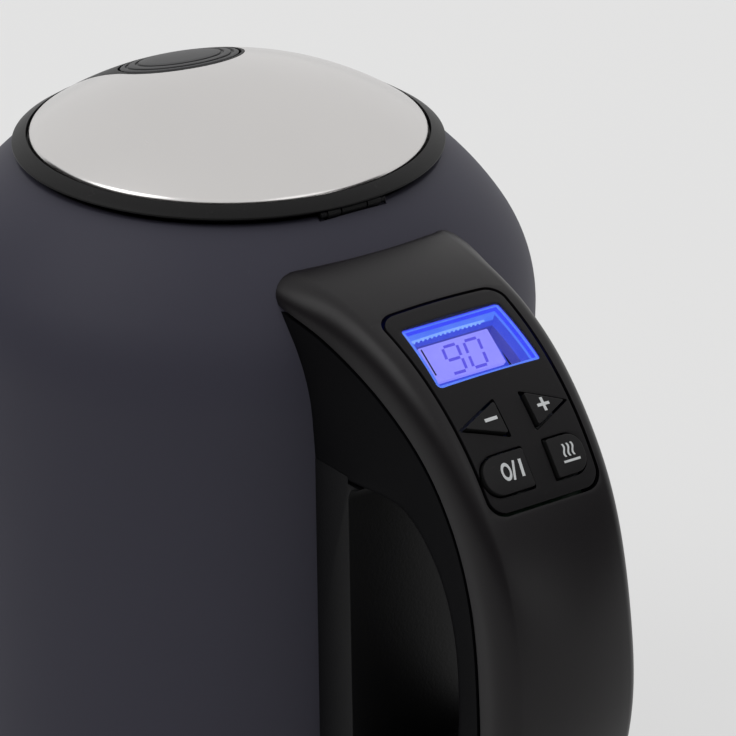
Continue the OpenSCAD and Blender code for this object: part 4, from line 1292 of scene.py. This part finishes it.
def makeWindow():
    a, b = panel["window"]
    finishPiece(frameTray(a, b), "displayFrame", "kettle",
                ["litViolet", "litRim", "litBright", "litBright", "litDeep", "litShade"],
                ["display_frame"])

    # painted highlight: a row of pale glowing teeth along the top of the frame
    highlightBar = box(a + 2.0, a + 2.35, -11.6, 9.4, -3.2, -2.8)
    for i in range(display["highlightTeeth"]):
        addPart(highlightBar, rod(0.26, 0.7, 10, (a + 2.4, -10.9 + i * display["toothPitch"], -3.05), (0, 90, 0)))
    finishPiece(layOnHandle(highlightBar, a, b, 2.0), "frameHighlightTeeth", "kettle", "litPale")

    pane = prism(windowPoints(0.05), -0.42, -0.12, panel["windowCorner"], 6)
    finishPiece(layOnHandle(pane, a, b), "displayWindow", "kettle", "windowClear", ["display_window"])


makeDisplay()
makeWindow()
print("stage: display")


# ---- spout ----
spout = {
    # the route: turns are from straight up, towards -X
    "start": (-63.0, 57.0), "rootTurn": -70, "rootLong": 15.0, "elbowR": 24.0, "riserTurn": -24, "riserLong": 70.0,
    "tipBendR": 16.0, "tipTurn": -100,
    "rootR": 9.0, "neckR": 6.0, "wall": 0.8, "rootBack": 1.75, "edge": 0.22,
    "sides": 64, "elbowSteps": 28, "riserSteps": 40, "tipSteps": 30,
    # how much wider the tube is at each distance along the lip
    "lip": ((0.9, 0.12), (1.8, 0.35), (2.4, 0.52), (3.0, 0.5)),
    # collar outline as (radius, distance along the root)
    "collar": [(9.05, 7.2), (14.6, 7.2), (14.1, 8.4), (12.4, 10.2), (11.5, 12.2), (11.05, 14.2), (10.5, 14.6),
               (9.05, 14.6)],
}


def spoutRoute():
    # points along the tube's middle with its turn and radius
    (x, z), turn = spout["start"], radians(spout["rootTurn"])
    x, z = x + sin(turn) * spout["rootLong"], z + cos(turn) * spout["rootLong"]
    route = []

    def bend(x, z, turn, to, bendR, steps, r):
        side = 1 if to > turn else -1
        cx, cz = x + side * bendR * cos(turn), z - side * bendR * sin(turn)
        for i in range(steps + 1):
            a = turn + (to - turn) * i / steps
            route.append((cx - side * bendR * cos(a), cz + side * bendR * sin(a), a, r))
        return route[-1][:2]

    rise = radians(spout["riserTurn"])
    x, z = bend(x, z, turn, rise, spout["elbowR"], spout["elbowSteps"], spout["rootR"])
    n = spout["riserSteps"]
    for i in range(1, n + 1):
        d = spout["riserLong"] * i / n
        r = spout["rootR"] + (spout["neckR"] - spout["rootR"]) * i / n
        route.append((x + sin(rise) * d, z + cos(rise) * d, rise, r))
    x, z = route.pop()[:2]
    tip = radians(spout["tipTurn"])
    x, z = bend(x, z, rise, tip, spout["tipBendR"], spout["tipSteps"], spout["neckR"])
    for d, flare in spout["lip"]:
        route.append((x + sin(tip) * d, z + cos(tip) * d, tip, spout["neckR"] + flare))
    return route


def makeSpout():
    rows = []
    for x, z, turn, r in spoutRoute():
        row = []
        for k in range(spout["sides"] + 1):
            q = 2 * pi * (k % spout["sides"]) / spout["sides"]
            row.append(Vector((x + cos(turn) * r * cos(q), r * sin(q), z - sin(turn) * r * cos(q))))
        rows.append(row)
    bm = gridSheet(rows)
    bmesh.ops.remove_doubles(bm, verts=bm.verts, dist=1e-4)
    bmesh.ops.recalc_face_normals(bm, faces=bm.faces)
    # the tube is open, so its faces are turned to point away from its own line
    face = max(bm.faces, key=lambda f: f.calc_center_median().z)
    if face.normal.z < 0:
        bmesh.ops.reverse_faces(bm, faces=bm.faces)
    tube = thicken(asObject(bm), spout["wall"])
    roundObject(tube, spout["edge"], 3, 60)
    finishPiece(tube, "spoutTube", "kettle", "satinTubeSteel",
                ["spout_elbow", "spout_riser", "spout_tip", "spout_lip"])


def makeCollar():
    # the flared collar and the first straight length of the tube are one piece
    turn = Matrix.Translation((spout["start"][0], 0, spout["start"][1])) \
        @ Matrix.Rotation(radians(spout["rootTurn"]), 4, "Y")
    bm = lathe(spout["collar"], 96)
    roundEdges(bm, 0.3, 3, 30)
    bmesh.ops.transform(bm, matrix=turn, verts=bm.verts)
    collar = asObject(bm)
    carve(collar, bodyVolume(0.02))
    r, wall, back, end = spout["rootR"], spout["wall"], spout["rootBack"], spout["rootLong"] - 0.02
    bm = lathe([(r - wall, -back), (r, -back), (r, end), (r - wall, end)], 96)
    bmesh.ops.transform(bm, matrix=turn, verts=bm.verts)
    carve(collar, asObject(bm), "UNION")
    finishPiece(collar, "spoutCollar", "kettle", "satinTubeSteel", ["spout_root_ring"])


makeSpout()
makeCollar()
print("stage: spout")


# ---- power base ----
powerBase = {
    # outline as (radius, height), from the socket's opening over the top and back under the wall
    "outline": [(19.3, 17.5), (19.3, 19.4), (19.6, 19.7), (66, 19.7), (67, 19.2), (68.4, 19.2), (69.2, 19.7),
                (72, 19.7), (74.0, 19.4), (75.6, 18.5), (76.7, 17.0), (77.2, 15.4), (77.9, 6.0), (78.0, 4.4),
                (77.6, 3.6), (76, 3.6), (76, 5), (74.8, 15.7), (73, 17.5)],
    # four posts take the screws from below
    "postAt": 52.0, "postR": 3.6, "postLong": 13.2, "postZ": 11.2, "screwR": 1.4,
    "inletR": 6.6, "inletZ": 10.0,
}


def makeBase():
    bm = lathe(powerBase["outline"], 192)
    roundEdges(bm, 0.2, 2, 45)
    made = asObject(bm)
    carve(made, asObject(rod(powerBase["inletR"], 24, 48, (74, 0, powerBase["inletZ"]), (0, 90, 0))))
    for a in (45, 135, 225, 315):
        x, y = powerBase["postAt"] * cos(radians(a)), powerBase["postAt"] * sin(radians(a))
        post = asObject(rod(powerBase["postR"], powerBase["postLong"], 32, (x, y, powerBase["postZ"])))
        carve(post, asObject(rod(powerBase["screwR"], 10, 24, (x, y, 9))))
        carve(made, post, "UNION")
    finishPiece(made, "baseHousing", "power_base", "baseBlack", ["base_top_housing"])


makeBase()

inlet = {"bore": 3.6, "from": 67.0, "to": 78.55}


def makeInlet():
    # a soft bushing with a flange and three grip rings
    a, b = inlet["from"], inlet["to"]
    line = [(inlet["bore"], a), (5.4, a), (5.4, a + 4), (6.55, a + 4), (6.55, a + 5.6), (6.0, a + 5.9), (6.0, a + 6.6),
            (6.55, a + 6.9), (6.55, a + 8.2), (6.0, a + 8.5), (6.0, a + 9.1), (6.5, a + 9.4), (6.4, a + 10.4),
            (5.5, b), (inlet["bore"] + 0.5, b), (inlet["bore"], b - 0.5)]
    bm = lathe(line, 64)
    roundEdges(bm, 0.15, 2, 40)
    turn = Matrix.Translation((0, 0, powerBase["inletZ"])) @ Matrix.Rotation(radians(90), 4, "Y")
    bmesh.ops.transform(bm, matrix=turn, verts=bm.verts)
    finishPiece(asObject(bm), "cordBushing", "power_base", "footRubber", ["cord_inlet"])


makeInlet()
print("stage: power base")


# ---- the pieces that keep their CAD shape get their finishes ----
keptFinishes = {
    "coverBlack": ["base_bottom_cover", "kettle_foot", "lid_inner_cover", "latch_plate", "lid_latch"],
    "socketBlack": ["base_socket", "kettle_connector"],
    "contactBrass": ["base_contacts", "connector_contacts"],
    "footRubber": ["base_feet"],
    "screwZinc": ["base_screws", "strip_screws", "shell_screws"],
    "vesselSteel": ["inner_vessel", "heater_plate", "temperature_probe", "spout_strainer"],
    "ringSatinBlack": ["neck_collar"],
    "siliconeGrey": ["neck_gasket", "key_membrane", "lid_seal"],
    "hingeShadeSteel": ["hinge_pin", "hinge_springs"],
    "castAluminium": ["heat_spreader"],
    "heatedTube": ["heating_element"],
    "creamResin": ["dry_boil_cutout"],
    "wireSleeve": ["wiring_loom"],
    "litDeep": ["backlight"],
    "boardShadeGreen": ["control_board"],
}
for coat, kept in keptFinishes.items():
    for node in kept:
        nodes[node].data.materials.clear()
        nodes[node].data.materials.append(finish[coat])
finished = sum(keptFinishes.values(), [])
for node, piece in nodes.items():
    if not piece.hide_render and node not in finished:
        print("no finish for", node)
print("stage: kept nodes finished")
